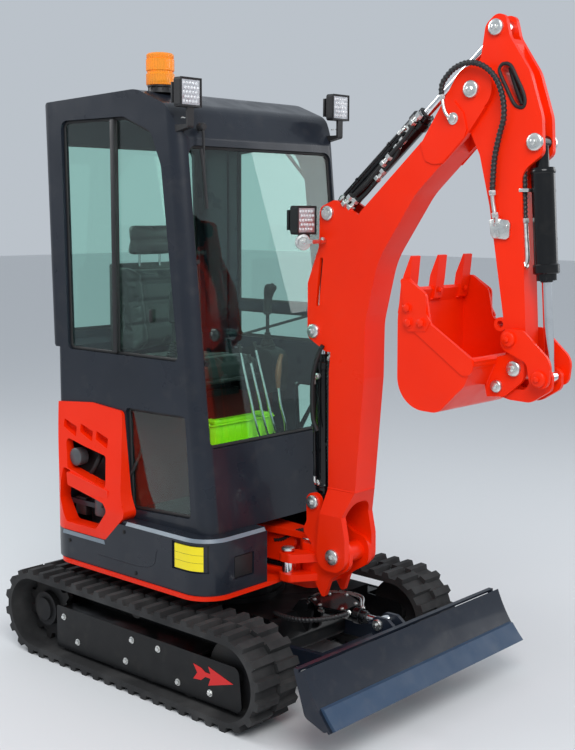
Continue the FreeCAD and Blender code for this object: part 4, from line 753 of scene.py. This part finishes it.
def rim(faces):
    """The closed outer line of a flat set of triangles, each corner once."""
    ahead = {}
    for face in faces:
        for loop in face.loops:
            if sum(other in faces for other in loop.edge.link_faces) == 1:
                ahead[loop.vert] = loop.link_loop_next.vert
    line = [next(iter(ahead))]
    for _ in range(len(ahead) - 1):
        line.append(ahead[line[-1]])
    line = [vertex.co.copy() for vertex in line]
    return [p for i, p in enumerate(line)
            if (p - line[i - 1]).length > 1e-4 and (p - line[i - 1]).angle(line[(i + 1) % len(line)] - p, 0) > 1e-3]


# distance inwards from the pane's edge and height over the glass
SEAL_SECTION = [(-0.2, -0.2), (-0.2, 3.0), (1.5, 4.6), (8.0, 4.6), (11.0, 2.8), (12.5, -0.2)]


def carry_round(shape, line, normal, section):
    rings = []
    for i, here in enumerate(line):
        back = (here - line[i - 1]).normalized()
        ahead = (line[(i + 1) % len(line)] - here).normalized()
        inward = normal.cross(back) + normal.cross(ahead)
        inward *= 1 / max(0.2, 0.5 * inward.dot(inward))
        rings.append([shape.verts.new(here + (inward * u + normal * v) * MM) for u, v in section])
    for low, high in zip(rings, rings[1:] + rings[:1]):
        for k in range(len(section)):
            j = (k + 1) % len(section)
            shape.faces.new((low[k], low[j], high[j], high[k]))
    return shape


for node, body in (("cab_glass", "house"), ("door_glass", "door")):
    shape, count = bmesh.new(), 0
    for line, normal in flat_faces(node):
        carry_round(shape, line, normal, SEAL_SECTION)
        count += 1
    add_piece(node + "_seals", shape, seal_rubber, body)
    print(count, "seals on", node)

# %% [markdown]
# A work lamp is a finned black body with a bright face: a bezel, a pale reflector behind, and a grid of
# small lenses, one over each light. The body is a solid from the source; the face is added in front of it.

# %% Lamp faces
LAMPS = [("roof_lamp_right", 248, -440, 2357, "house"), ("roof_lamp_left", 248, 440, 2357, "house"),
         ("boom_lamp", 554, -127, 1883, "boom")]
for name, x, y, z, body in LAMPS:
    shape = bmesh.new()
    for low, high, inner, outer in ((0, 5, 50, 54.5), (0, 3, 46, 51)):
        for side in (-1, 1):
            block(shape, x + low, x + high, y + side * (inner + outer) / 2 - (outer - inner) / 2,
                  y + side * (inner + outer) / 2 + (outer - inner) / 2, z - outer, z + outer, 1.2)
            block(shape, x + low, x + high, y - inner, y + inner,
                  z + side * (inner + outer) / 2 - (outer - inner) / 2,
                  z + side * (inner + outer) / 2 + (outer - inner) / 2, 1.2)
    for k in range(7):
        block(shape, x - 62, x - 52, y - 44 + k * 13.4, y - 38 + k * 13.4, z - 38, z + 38, 1)
    add_piece(name + "_bezel", shape, black_plastic, body)
    shape = bmesh.new()
    block(shape, x - 0.2, x + 1.6, y - 47, y + 47, z - 47, z + 47, 0.4)
    add_piece(name + "_reflector", shape, reflector, body)
    spots = [(at(x + 1.4, y - 32 + 16 * i + 8 * (k % 2) - 4, z - 34 + 17 * k), FRONT)
             for i in range(5) for k in range(5)]
    grow(name + "_lenses", BEADS, spots, {"Radius": 6.2, "Height": 4.5}, clear_lens, body)
build("boom_lamp_mount", zinc, "boom", (block, 524, 602, -146, -62.6, 1794.5, 1809.5, 1.5),
      (turned, [(0, 0), (30, 0), (31, 3), (29, 6), (20, 7), (17, 4), (0, 4)], at(556, -150, 1800), (0.8, -0.6, 0)))
grow("boom_lamp_mount_bolts", BOLTS, [(at(592, -74, 1809.4), UP), (at(538, -127, 1832), (0, -1, 0)),
                                      (at(560, -153, 1800), (0.8, -0.6, 0))],
     {"Head radius": 8, "Head height": 7, "Washer radius": 12, "Washer height": 2}, zinc, "boom")
print(len(LAMPS), "lamp faces")

# %% [markdown]
# The beacon's lens has upright ribs that spread its light. The lens is turned like a cap, and then every
# third line of its wall is pushed in a little. A black foot with ribs and the inner mirror complete it.

# %% Beacon
BEACON = at(-20, -350, 2376)
LENS_LINES, WALL_RADIUS, RIB_DEPTH = 96, 0.048, 0.0016
shape = bmesh.new()
turned(shape, [(0, 0), (50, 0), (50, 5), (47, 9), (47, 20), (51, 23), (51, 31), (0, 31)], BEACON, UP, 48)
for k in range(12):
    angle = k / 12 * math.tau
    turned(shape, [(0, 8), (2.4, 8), (2.4, 22), (0, 23)],
           BEACON + Vector((math.cos(angle), math.sin(angle), 0)) * 47 * MM, UP, 8)
add_piece("beacon_foot", shape, black_plastic, "house")
shape = bmesh.new()
turned(shape, [(0, 30), (55, 30), (56, 34), (56, 72), (52, 76), (52, 82), (56, 86), (56, 128), (52, 131), (54, 134),
               (54, 146), (48, 152), (30, 155), (0, 156)], BEACON, UP, LENS_LINES)
for vertex in shape.verts:
    away = vertex.co - BEACON
    flat = Vector((away.x, away.y, 0))
    line = round(math.atan2(away.y, away.x) / math.tau * LENS_LINES)
    if flat.length > WALL_RADIUS and line % 3 == 0:
        vertex.co -= flat.normalized() * RIB_DEPTH
lens = add_piece("beacon_lens", shape, amber_lens, "house")
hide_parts("beacon")
build("beacon_lamp", reflector, "house",
      (turned, [(0, 46), (30, 46), (26, 60), (12, 70), (12, 120), (20, 132), (0, 136)], BEACON, UP, 24))
build("beacon_wire", seal_rubber, "house",
      (tube, [(-70, -372, 2384), (-100, -392, 2380), (-90, -430, 2368), (-70, -452, 2345)], 3.5, 8))

# %% [markdown]
# The seat is foam under black vinyl. Each pad starts as a block a little smaller than its solid, is
# remeshed evenly and blown up by the cloth solver, so that its faces crown and its edges pull tight.
# The sewn channels are pressed in afterwards, because a remesh would close them.

# %% Padded seat
SEAT_VOXEL, SEAT_PRESSURE, SEAT_CAP, SEAT_MOMENTS = 0.007, 4.0, 0.022, 20
SEAM_DEPTH, SEAM_WIDTH, FOAM_FILL = 0.010, 0.009, 0.75


def puff(mesh):
    """Blows a closed mesh up with the cloth solver and returns the new mesh."""
    pad = bpy.data.objects.new("pad", mesh)
    bpy.context.scene.collection.objects.link(pad)
    remesh = pad.modifiers.new("even", "REMESH")
    remesh.mode, remesh.voxel_size = "VOXEL", SEAT_VOXEL
    even = bpy.data.meshes.new_from_object(pad.evaluated_get(bpy.context.evaluated_depsgraph_get()))
    pad.modifiers.remove(remesh)
    pad.data = even
    rest = [v.co.copy() for v in even.vertices]
    cloth = pad.modifiers.new("air", "CLOTH")
    cloth.settings.use_pressure = True
    cloth.settings.uniform_pressure_force = SEAT_PRESSURE
    cloth.settings.effector_weights.gravity = 0
    scene = bpy.context.scene
    for moment in range(1, SEAT_MOMENTS + 1):
        scene.frame_set(moment)
    even = bpy.data.meshes.new_from_object(pad.evaluated_get(bpy.context.evaluated_depsgraph_get()))
    scene.frame_set(1)
    bpy.data.objects.remove(pad)
    for vertex, start in zip(even.vertices, rest):
        way = vertex.co - start
        if way.length > SEAT_CAP:
            vertex.co = start + way.normalized() * SEAT_CAP
    return even


def sew(mesh, normal, lines):
    """Presses channels into the face that looks along normal; a line is a point and its direction."""
    for vertex in mesh.vertices:
        if vertex.normal.dot(normal) < 0.3:
            continue
        for point, along in lines:
            gap = vertex.co - point
            gap -= along * gap.dot(along) + normal * gap.dot(normal)
            vertex.co -= normal * SEAM_DEPTH * math.exp(-(gap.length / SEAM_WIDTH) ** 2)


def pad(name, corners, half, normal, channels, replaced):
    shape = bmesh.new()
    plate(shape, "y", corners, -half, half, 14)
    bmesh.ops.recalc_face_normals(shape, faces=shape.faces)
    mesh = bpy.data.meshes.new(name)
    shape.to_mesh(mesh)
    shape.free()
    mesh = puff(mesh)
    sew(mesh, Vector(normal).normalized(), channels)
    piece = add_piece(name, mesh, vinyl, "house")
    rounder = piece.modifiers.new("smooth", "SUBSURF")
    rounder.levels = rounder.render_levels = 1
    if replaced:
        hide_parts(*replaced)
    return piece


ACROSS, ALONG = Vector((0, 1, 0)), Vector((1, 0, 0))
pads = [pad("seat_pad", [(-488, 1204), (2, 1204), (12, 1278), (-488, 1262)], 202, (0, 0, 1),
            [(at(0, side * 118, 0), ALONG) for side in (-1, 1)] + [(at(x, 0, 1280), ACROSS) for x in (-120, -250)],
            ["seat_cushion"]),
        pad("seat_back_pad", [(-488, 1302), (-380, 1302), (-438, 1678), (-508, 1678)], 198, (1, 0, 0.15),
            [(at(-400, side * 112, 1500), Vector((-0.15, 0, 1)).normalized()) for side in (-1, 1)]
            + [(at(-410, 0, z), ACROSS) for z in (1420, 1520, 1610)], ["seat_back"]),
        pad("head_rest_pad", [(-514, 1724), (-462, 1724), (-462, 1852), (-506, 1852)], 114, (1, 0, 0),
            [(at(-450, 0, 1788), ACROSS)], [])]
build("head_rest_posts", chrome, "house",
      *[(turned, [(0, 0), (6, 0), (6, 60), (0, 60)], at(-490, y, 1672), UP, 12) for y in (-60, 60)])
build("seat_shell", black_plastic, "house", (block, -508, 14, -206, 206, 1192, 1212, 8),
      (block, -530, -496, -204, 204, 1300, 1686, 10))
print([(piece.name, len(piece.data.polygons)) for piece in pads])

# %% [markdown]
# A joystick has a bellows boot, a thin stick and a grip shaped for a hand. The boot's folds are one
# zigzag of ovals; the grip is a stack of ovals joined by faces.

# %% Joysticks


def loft(shape, rings, steps=20):
    """rings are rows of (x, y, z, half length, half width); they are ovals joined bottom to top."""
    lines = []
    for x, y, z, long_half, wide_half in rings:
        lines.append([shape.verts.new(at(x + long_half * math.cos(i / steps * math.tau),
                                         y + wide_half * math.sin(i / steps * math.tau), z)) for i in range(steps)])
    for low, high in zip(lines, lines[1:]):
        for i in range(steps):
            shape.faces.new((low[i], low[(i + 1) % steps], high[(i + 1) % steps], high[i]))
    shape.faces.new(lines[0][::-1])
    shape.faces.new(lines[-1])
    return shape


boots, grips, sticks = bmesh.new(), bmesh.new(), bmesh.new()
for side in (-1, 1):
    y = side * 280
    folds = []
    for k in range(9):
        z, size = 1300 + k * 10, 46 - k * 3.9
        folds += [(-30, y, z, size, size * 0.92), (-30, y, z + 5, size - 6, (size - 6) * 0.92)]
    loft(boots, folds + [(-30, y, 1392, 9, 9)])
    loft(sticks, [(-30, y, 1385, 8, 8), (-30, y, 1470, 8, 8)], 12)
    loft(grips, [(-32, y, 1462, 12, 12), (-31, y, 1468, 19, 18), (-30, y, 1486, 18, 17), (-28, y, 1510, 21, 19),
                 (-27, y, 1535, 19, 18), (-22, y, 1558, 24, 22), (-14, y, 1576, 30, 25), (-12, y, 1590, 28, 24),
                 (-14, y, 1598, 16, 14)])
    turned(grips, [(0, 0), (7, 0), (7, 5), (0, 6)], at(-2, y, 1596), (0.2, 0, 1), 16)
boots_piece = add_piece("joystick_boots", boots, seal_rubber, "house")
add_piece("joystick_grips", grips, black_plastic, "house")
add_piece("joystick_sticks", sticks, black_plastic, "house")
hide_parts("levers")
print("two joysticks")

# %% [markdown]
# The travel levers are thin chromed rods, cranked near their foot, with small black knobs. Beside them
# stands the curved blade lever with its brown grip.

# %% Travel levers and the tray's edge
levers, knobs = bmesh.new(), bmesh.new()
for foot, top in (((220, -24, 930), (206, -134, 1346)), ((220, 30, 930), (206, -74, 1300)),
                  ((222, 78, 930), (206, -44, 1350))):
    a, b = Vector(foot), Vector(top)
    tube(levers, [a, a + Vector((0, 0, 34)), a.lerp(b, 0.2), a.lerp(b, 0.6), b], 6.5, 10, 14)
    tube(knobs, [a + Vector((0, 0, 4)), a + Vector((0, 0, 30)), a.lerp(b, 0.12)], 12, 12, 8)
    tube(knobs, [b, b + Vector((-2, -8, 34))], 7.5, 12, 8)
tube(levers, [(215, 130, 930), (214, 128, 1020), (208, 104, 1110), (204, 96, 1180)], 6, 10)
add_piece("travel_levers", levers, chrome, "house")
add_piece("lever_knobs", knobs, seal_rubber, "house")
build("blade_lever_grip", brown_grip, "house",
      (tube, [(204, 96, 1176), (203, 96, 1230), (202, 104, 1280), (202, 118, 1318)],
       lambda distance, angle: 11 - 2 * math.cos(distance / 22)))
shape = bmesh.new()
for x0, x1, y0, y1, z0, z1 in ((132, 137, -292, 84, 945, 1070), (183, 188, -292, 84, 945, 1062),
                               (132, 188, -292, -287, 945, 1070), (132, 188, 79, 84, 945, 1070),
                               (132, 188, -292, 84, 945, 952), (183, 196, -292, 84, 1056, 1062),
                               (120, 137, -292, 84, 1064, 1070)):
    block(shape, x0, x1, y0, y1, z0, z1, 2)
for k in range(9):
    block(shape, 186, 190, -262 + k * 38, -254 + k * 38, 956, 1050, 1.5)
    block(shape, 200, 262, -262 + k * 38, -254 + k * 38, 951, 956, 1.5)
block(shape, 126, 192, 20, 60, 1062, 1078, 4)
block(shape, 126, 192, -268, -228, 1062, 1078, 4)
add_piece("lime_tray", shape, lime_plastic, "house")
print("levers and tray")

# %% [markdown]
# Hydraulic cylinders: round the gland, where the rod comes out, sits a collar with spanner flats and a
# wiper seal. Each barrel has two oil ports with steel elbows, and each longer one a pipe that leads the oil along
# it.

# %% Cylinder trim
# body, foot, eye, barrel length, barrel radius, rod radius, places of the lower collar and port, ports' side
CYLINDERS = [("boom_barrel", (549, 0, 770), (540, 0, 1453), 560, 36, 17.5, 52, 74, RIGHT),
             ("arm_barrel", (608, 0, 1910), (1327, 0, 2535), 520, 36, 17.5, 52, 74, RIGHT),
             ("bucket_barrel", (1490, 0, 2148), (1550, 0, 1360), 440, 40, 17, 90, 118, LEFT),
             ("blade_barrel", (490, 0, 322), (860, 0, 330), 262, 28, 14, 52, 74, RIGHT),
             ("swing_barrel", (40, -150, 505), (470, -130, 505), 270, 30, 15, 52, 74, RIGHT)]
for body, foot, eye, length, barrel, rod, low, near, side in CYLINDERS:
    foot, eye, side = Vector(foot), Vector(eye), Vector(side)
    along = (eye - foot).normalized()

    def on(distance, height=0.0):
        return at(*(foot + along * distance + side * height))

    collar, seal, ports = bmesh.new(), bmesh.new(), bmesh.new()
    turned(collar, [(0, 0), (barrel + 1.5, 0), (barrel + 5, 3), (barrel + 5, 30), (barrel + 2, 33), (0, 33)],
           on(length - 34), along, 36)
    turned(collar, [(0, 0), (barrel * 0.9, 0), (barrel * 0.9, 17), (barrel * 0.8, 22), (rod + 4, 24.5),
                    (rod + 0.6, 24.5), (rod + 0.6, 10), (0, 10)], on(length), along, 6 if barrel > 35 else 36)
    turned(collar, [(0, 0), (barrel + 0.8, 0), (barrel + 3, 4), (barrel + 3, 10), (barrel + 0.8, 14), (0, 14)],
           on(low), along, 36)
    turned(seal, [(0, 0), (rod + 6, 0), (rod + 5, 3), (rod + 1, 6), (rod + 0.3, 6), (rod + 0.3, -4), (0, -4)],
           on(length + 22), along, 32)
    far = length - 58
    for distance in (near, far):
        turned(ports, [(0, 0), (13, 0), (13, 12), (10, 14), (0, 14)], on(distance, barrel - 3), side, 6)
        start = foot + along * distance + side * (barrel + 8)
        back = along * (18 if distance == near else -18)
        tube(ports, [start, start + side * 10, start + side * 16 + back * 0.5, start + side * 17 + back * 1.6],
             6.5, 10, 4)
    add_piece(body + "_collars", collar, barrel_paint, body)
    add_piece(body + "_wiper", seal, seal_rubber, body)
    add_piece(body + "_ports", ports, zinc, body)
    if length > 400:
        level = side * (barrel + 25)
        clips = [at(*(foot + along * (length * share) + level)) for share in (0.35, 0.72)]
        build(body + "_pipe", barrel_paint, body,
              (tube, [foot + along * (far - 30) + level, foot + along * (far * 0.7) + level,
                      foot + along * (far * 0.45) + level, foot + along * (near + 70) + level * 0.96,
                      foot + along * (near + 34) + level], 6, 10),
              *[(turned, [(0, 0), (9, 0), (9, 10), (0, 10)], clip, along, 12) for clip in clips])
print(len(CYLINDERS), "cylinders trimmed")

# %% [markdown]
# A hose that passes a joint must bend when the joint turns. Here it is one smooth tube, clamped at both ends
# with steel fittings, that rides on neither body and stays where it is drawn. Its guard is a plastic spiral,
# which the tube's radius gives: it swells and falls once in every turn of the spiral.

# %% Hoses over the joints


SPIRAL_PITCH, SPIRAL_RISE = 15.0, 2.2


def spiral(radius):
    def size(distance, angle):
        return radius + SPIRAL_RISE * max(0.0, math.cos(angle - distance / SPIRAL_PITCH * math.tau)) ** 0.6
    return size


def hose(name, points, radius, finish, ride=None, across=None, guard=True):
    """A hose on one body, or, given across, on none; the bodies and places in across are not used."""
    course = (tube, points, spiral(radius), 14, 2.5) if guard else (tube, points, radius)
    piece = build(name, finish, ride, course)
    if across:
        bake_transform(piece)
    return piece


def fitting(name, points, body, radius=8.5):
    """A steel end: a straight or bent pipe with two hexagon nuts on it."""
    shape = bmesh.new()
    path = smooth_path(points, 5)
    pipe(shape, path, radius, 12)
    nut = [(0, 0), (radius * 1.45, 0), (radius * 1.6, 2), (radius * 1.6, 15), (radius * 1.4, 17), (0, 17)]
    for spot, way in ((path[0], path[1] - path[0]), (path[-1], path[-2] - path[-1])):
        turned(shape, nut, at(*spot), way, 6)
    return add_piece(name, shape, zinc, body)


hose("head_hose", [(1140, -86, 2316), (1138, -87, 2336), (1148, -89, 2366), (1192, -90, 2405), (1252, -90, 2420),
                   (1310, -88, 2404), (1354, -82, 2362), (1378, -74, 2300), (1381, -68, 2233), (1362, -62, 2176),
                   (1344, -58, 2106), (1338, -56, 2050), (1336, -56, 1985)], 8.6, hose_rubber,
     across=("boom", "arm", (1150, -86, 2336), (1384, -74, 2290)))
fitting("head_hose_start", [(1172, -66, 2240), (1164, -82, 2246), (1150, -86, 2272), (1140, -86, 2320)],
        "boom", 6.5)
fitting("head_hose_end", [(1336, -56, 1990), (1340, -56, 1950), (1350, -54, 1898)], "arm", 8)
hose("front_hose", [(1446, -26, 2196), (1440, -26, 2140), (1441, -26, 2069), (1445, -26, 1976), (1450, -26, 1890)],
     8.6, hose_rubber, "arm")
fitting("front_hose_end", [(1449, -26, 1896), (1455, -26, 1836), (1462, -26, 1764), (1456, -26, 1742),
                           (1446, -26, 1736)], "arm", 9.5)
build("boom_bulkhead", zinc, "boom",
      (turned, [(0, -2), (21, -2), (21, 3), (16, 5), (16, 12), (12, 15), (0, 15)], at(1176, -67, 2238), RIGHT, 24))
build("arm_clamp_plate", zinc, "arm",
      (plate, "y", [(1322, 1888), (1342, 1896), (1398, 1890), (1406, 1878), (1404, 1832), (1392, 1824),
                    (1340, 1826), (1330, 1838)], -52, -42, 3),
      (turned, [(0, 0), (11, 0), (11, 20), (8, 24), (0, 24)], at(1352, -54, 1852), (0.15, 0, -1), 6),
      (turned, [(0, 0), (9, 0), (9, 24), (0, 24)], at(1356, -54, 1902), (0, 0, -1), 6),
      (block, 1432, 1470, -44, -14, 1984, 1996, 2))
OVAL = [(1369, 2413), (1352, 2410), (1343, 2388), (1372, 2332), (1401, 2281), (1420, 2266), (1439, 2265),
        (1446, 2284), (1436, 2318), (1412, 2362), (1392, 2398), (1380, 2409), (1369, 2413)]
build("arm_hole_grommet", seal_rubber, "arm",
      *[(tube, [(x, y, z) for x, z in OVAL], 6.5, 10) for y in (-41, 41)],
      (tube, [(1372, -20, 2400), (1396, -24, 2340), (1424, -22, 2276)], 8),
      (tube, [(1366, 14, 2396), (1390, 16, 2336), (1416, 14, 2276)], 8))
grow("arm_clamp_bolts", BOLTS, [(at(1392, -52, 1868), RIGHT), (at(1350, -52, 1876), RIGHT)],
     {"Head radius": 7, "Head height": 5, "Washer radius": 10, "Washer height": 1.5}, zinc, "arm")
SAG = Vector((10, 0, -12))
for number, a, b in ((1, Vector((700, -58, 1958)), Vector((1010, -58, 2244))),
                     (2, Vector((720, -50, 1944)), Vector((936, -50, 2160)))):
    middle, along = a.lerp(b, 0.55) + SAG, (b - a).normalized() * 26
    hose("boom_top_hose_%d" % number, [a, a.lerp(b, 0.25) + SAG, middle, a.lerp(b, 0.85) + SAG, b], 8.5,
         seal_rubber, "boom", guard=False)
    for name, spot in (("low", a), ("middle", middle), ("high", b)):
        fitting("boom_top_fitting_%d_%s" % (number, name), [spot - along, spot, spot + along], "boom", 9.5)
print("hoses over the arm's joint")

# %% [markdown]
# More hoses rise behind the boom. They leave the deck through the gap in the cowl, pass the swing bracket
# and go up in the space between the boom and its cylinder. Each stretch crosses only one joint.

# %% Hoses behind the boom
for side, y in (("right", -41), ("left", 41)):
    hose("deck_hose_" + side, [(302, y * 0.6, 560), (350, y * 0.6, 574), (420, y * 0.6, 616), (470, y * 0.6, 630),
                               (516, y * 0.6, 622), (532, y * 0.6, 590)], 8.4, hose_rubber,
         across=("house", "swing_bracket", (380, 0, 600), (500, 0, 600)))
    hose("lift_hose_" + side, [(548, y * 0.7, 590), (568, y * 0.85, 640), (596, y, 700), (608, y, 760),
                               (610, y, 860), (608, y * 1.1, 1000), (606, y * 1.1, 1180),
                               (602, y * 1.05, 1290), (604, y, 1345)],
         8.4, hose_rubber, across=("swing_bracket", "boom", (560, 0, 640), (600, 0, 760)))
    fitting("lift_hose_top_" + side, [(603, y, 1338), (606, y, 1358), (622, y, 1376)], "boom", 7)
for number, x in ((1, 556), (2, 574), (3, 592)):
    hose("inner_hose_%d" % number, [(x, -36, 1500), (x, -36, 1560), (x + 4, -36, 1640), (x + 8, -36, 1740),
                                    (x + 16, -34, 1820)], 9.5, seal_rubber, "boom", guard=False)
hose("boom_back_hose", [(574, -78, 1062), (556, -82, 1110), (550, -82, 1200), (554, -80, 1290), (576, -74, 1370),
                        (592, -70, 1400)], 9, seal_rubber, "boom", guard=False)
for z in (1000, 1240):
    build("hose_clip_%d" % z, black_plastic, "boom", (block, 596, 620, -54, 54, z, z + 14, 2))
print("hoses behind the boom")

# %% [markdown]
# At the blade a braided hose with a steel end and two thin steel pipes cross from the frame between the
# tracks to the lift cylinder.

# %% Blade hoses and pipes
hose("blade_hose", [(420, -150, 300), (470, -190, 318), (560, -222, 332), (640, -205, 338), (700, -150, 345),
                    (726, -96, 350), (722, -60, 348)], 8.4, hose_rubber,
     across=("undercarriage", "blade_barrel", (470, 0, 320), (640, 0, 330)))
fitting("blade_hose_end", [(724, -66, 348), (716, -46, 346), (704, -34, 338)], "blade_barrel", 7)
for number, y in ((1, 64), (2, 84)):
    piece = build("blade_pipe_%d" % number, zinc, None,
                  (tube, [(410, y, 300), (452, y + 20, 336), (560, y + 46, 356), (650, y + 40, 356),
                          (712, y * 0.6, 352), (730, y * 0.45, 342)], 4.5, 8))
    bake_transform(piece)
print("blade hoses")

# %% [markdown]
# On the cowl: a pale strip along the ledge, a yellow and a black plate in their pockets, both left blank,
# and a pressed line that makes the side less plain. They are thin sheets that follow the solid's surface.

# %% Cowl strips and plates
COWL_SIDE, COWL_FRONT, CORNER_X, CORNER_Y = 535, 420, 270, -385
# radius of the cowl's front corner every ten degrees, about its middle
CORNER = [150.0, 152.3, 157.1, 160.5, 162.2, 162.2, 160.5, 157.1, 152.3, 150.0]


def cowl_line(start, end, inset=0.0, notch=None):
    """Points along the cowl's right side from x = start and round its front corner to an angle."""
    line = [(start + (CORNER_X - 2 - start) * i / 4, -COWL_SIDE + inset) for i in range(5)]
    for i in range(19):
        turn = end * i / 18
        k = min(8, int(turn / 10))
        radius = CORNER[k] + (CORNER[k + 1] - CORNER[k]) * (turn / 10 - k) - inset
        line.append((CORNER_X + radius * math.sin(math.radians(turn)),
                     CORNER_Y - radius * math.cos(math.radians(turn))))
    return line + ([(COWL_FRONT - inset, notch)] if notch else [])


def band(shape, line, section):
    """Carries a section of (inset, z) pairs along a line that runs with the cowl on its left."""
    rows = []
    for i, here in enumerate(line):
        way = (Vector(line[min(i + 1, len(line) - 1)]) - Vector(line[max(i - 1, 0)])).normalized()
        inward = Vector((-way.y, way.x))
        rows.append([shape.verts.new(at(here[0] + inward.x * u, here[1] + inward.y * u, z)) for u, z in section])
    for low_row, high_row in zip(rows, rows[1:]):
        for k in range(len(section)):
            j = (k + 1) % len(section)
            shape.faces.new((low_row[k], low_row[j], high_row[j], high_row[k]))
    shape.faces.new(rows[0])
    shape.faces.new(rows[-1][::-1])
    return shape


build("yellow_plate", yellow_plastic, "house",
      (band, cowl_line(238, 40, 2.5), [(0, 543), (0, 639), (5.2, 639), (5.2, 543)]))
build("yellow_plate_lines", seal_rubber, "house",
      *[(band, cowl_line(238, 40, 2.3), [(0, z), (0, z + 1), (3, z + 1), (3, z)]) for z in (606, 575)])
build("black_plate", black_plastic, "house", (block, 412, 417, -380, -282, 500, 584, 1.5))
build("ledge_strip", pale_mark, "house",
      (band, cowl_line(-52, 90, 1.0, -206), [(0, 655.3), (9.5, 668.6), (11.6, 668.6), (11.6, 655.3)]),
      *[(plate, "y", [(-461, 552), (-181, 552), (-187, 569), (-455, 569)], side * 535.6 - 0.8, side * 535.6 + 0.8)
        for side in (-1, 1)])
build("cowl_pressed_line", slate_paint, "house",
      *[(tube, [(-228, y, 502), (84, y, 511), (139, y, 591)], 2.6, 8, 20) for y in (-534.2, 534.2)])
print("cowl trim")

# %% [markdown]
# A red arrow on each track frame points to the blade. It is a sheet about a millimetre thick, cut from one
# outline with a feathered tail and a barbed head.

# %% Arrows on the track frames
ARROW = [(380, 199), (424, 192), (446, 180), (474, 180), (462, 207), (594, 172), (462, 132), (474, 162),
         (446, 162), (422, 143), (380, 139), (402, 168)]
build("frame_arrows", red_mark, "undercarriage",
      *[(plate, "y", ARROW, side * 570.6 - 0.6, side * 570.6 + 0.6) for side in (-1, 1)])
print("arrows")

# %% [markdown]
# Behind the side panels' slots sits a red wire screen on a red sheet, and through their holes one sees
# filters, the air box and hoses. The screen is grown from wires laid both ways.

# %% Screens and what lies behind the panels
SCREEN_Y, BACKING_Y = 471, 468.2
UPRIGHTS = [(at(-505 + k * 12, side * SCREEN_Y, 1000), UP) for side in (-1, 1) for k in range(28)]
LEVELS = [(at(-343, side * SCREEN_Y, 958 + k * 12), FRONT) for side in (-1, 1) for k in range(8)]
grow("panel_screen_upright", WIRES, UPRIGHTS, {"Radius": 1.4, "Length": 96}, red_paint, "house")
grow("panel_screen_level", WIRES, LEVELS, {"Radius": 1.4, "Length": 330}, red_paint, "house")
build("vent_backing", red_paint, "house",
      *[(block, -512, -172, side * BACKING_Y - 0.8, side * BACKING_Y + 0.8, 950, 1056) for side in (-1, 1)])
for label, side in (("right", -1), ("left", 1)):
    build("filters_" + label, engine_iron, "house",
          (turned, [(0, 0), (44, 0), (46, 4), (46, 130), (40, 142), (0, 144)], at(-300, side * 430, 640), UP, 28),
          (turned, [(0, 0), (38, 0), (38, 40), (30, 46), (0, 46)], at(-420, side * 452, 880), (0, side, 0), 28))
    build("air_box_" + label, black_plastic, "house",
          (block, -480, -250, side * 400 - 22, side * 400 + 22, 780, 900, 10),
          (block, -470, -400, side * 440 - 18, side * 440 + 18, 620, 700, 8))
    build("engine_hoses_" + label, seal_rubber, "house",
          *[(tube, [(x, side * 380, z), (x + 30, side * 440, z + 30), (x + 90, side * 462, z + 60),
                    (x + 150, side * 450, z + 150), (x + 130, side * 400, z + 200)], radius)
            for x, z, radius in ((-470, 720, 11), (-380, 610, 9), (-230, 740, 7))])
print("engine bay dressed")

# %% [markdown]
# Small things finish the cab: the wiper on the windscreen, the catch and the upright of the sliding
# window, the grab bar and the lock on the door.

# %% Cab trim
build("wiper", black_plastic, "house",
      (tube, [(222, -352, 2228), (230, -356, 2170), (238, -364, 2100), (250, -372, 2030)], 5, 8),
      (tube, [(234, -374, 2150), (246, -374, 2070), (256, -374, 1990), (264, -374, 1925)], 6.5, 8),
      (turned, [(0, -14), (16, -14), (16, 8), (12, 14), (0, 14)], at(214, -350, 2236), FRONT, 20))
build("window_catch", black_plastic, "house", (block, 22, 36, -462, -448, 1478, 1530, 4),
      (block, -196, -170, -466, -444, 1343, 2276, 3))
build("grab_bar", black_plastic, "house",
      (tube, [(300, -412, 1330), (276, -408, 1340), (262, -406, 1370), (240, -404, 1560), (228, -402, 1690),
              (234, -404, 1716), (250, -408, 1722)], 9))
build("door_lock", black_plastic, "door", (block, 104, 132, 466, 474, 1060, 1130, 3),
      (turned, [(0, 0), (11, 0), (11, 6), (8, 8), (0, 8)], at(118, 472, 1078), LEFT, 20))
print("cab trimmed")
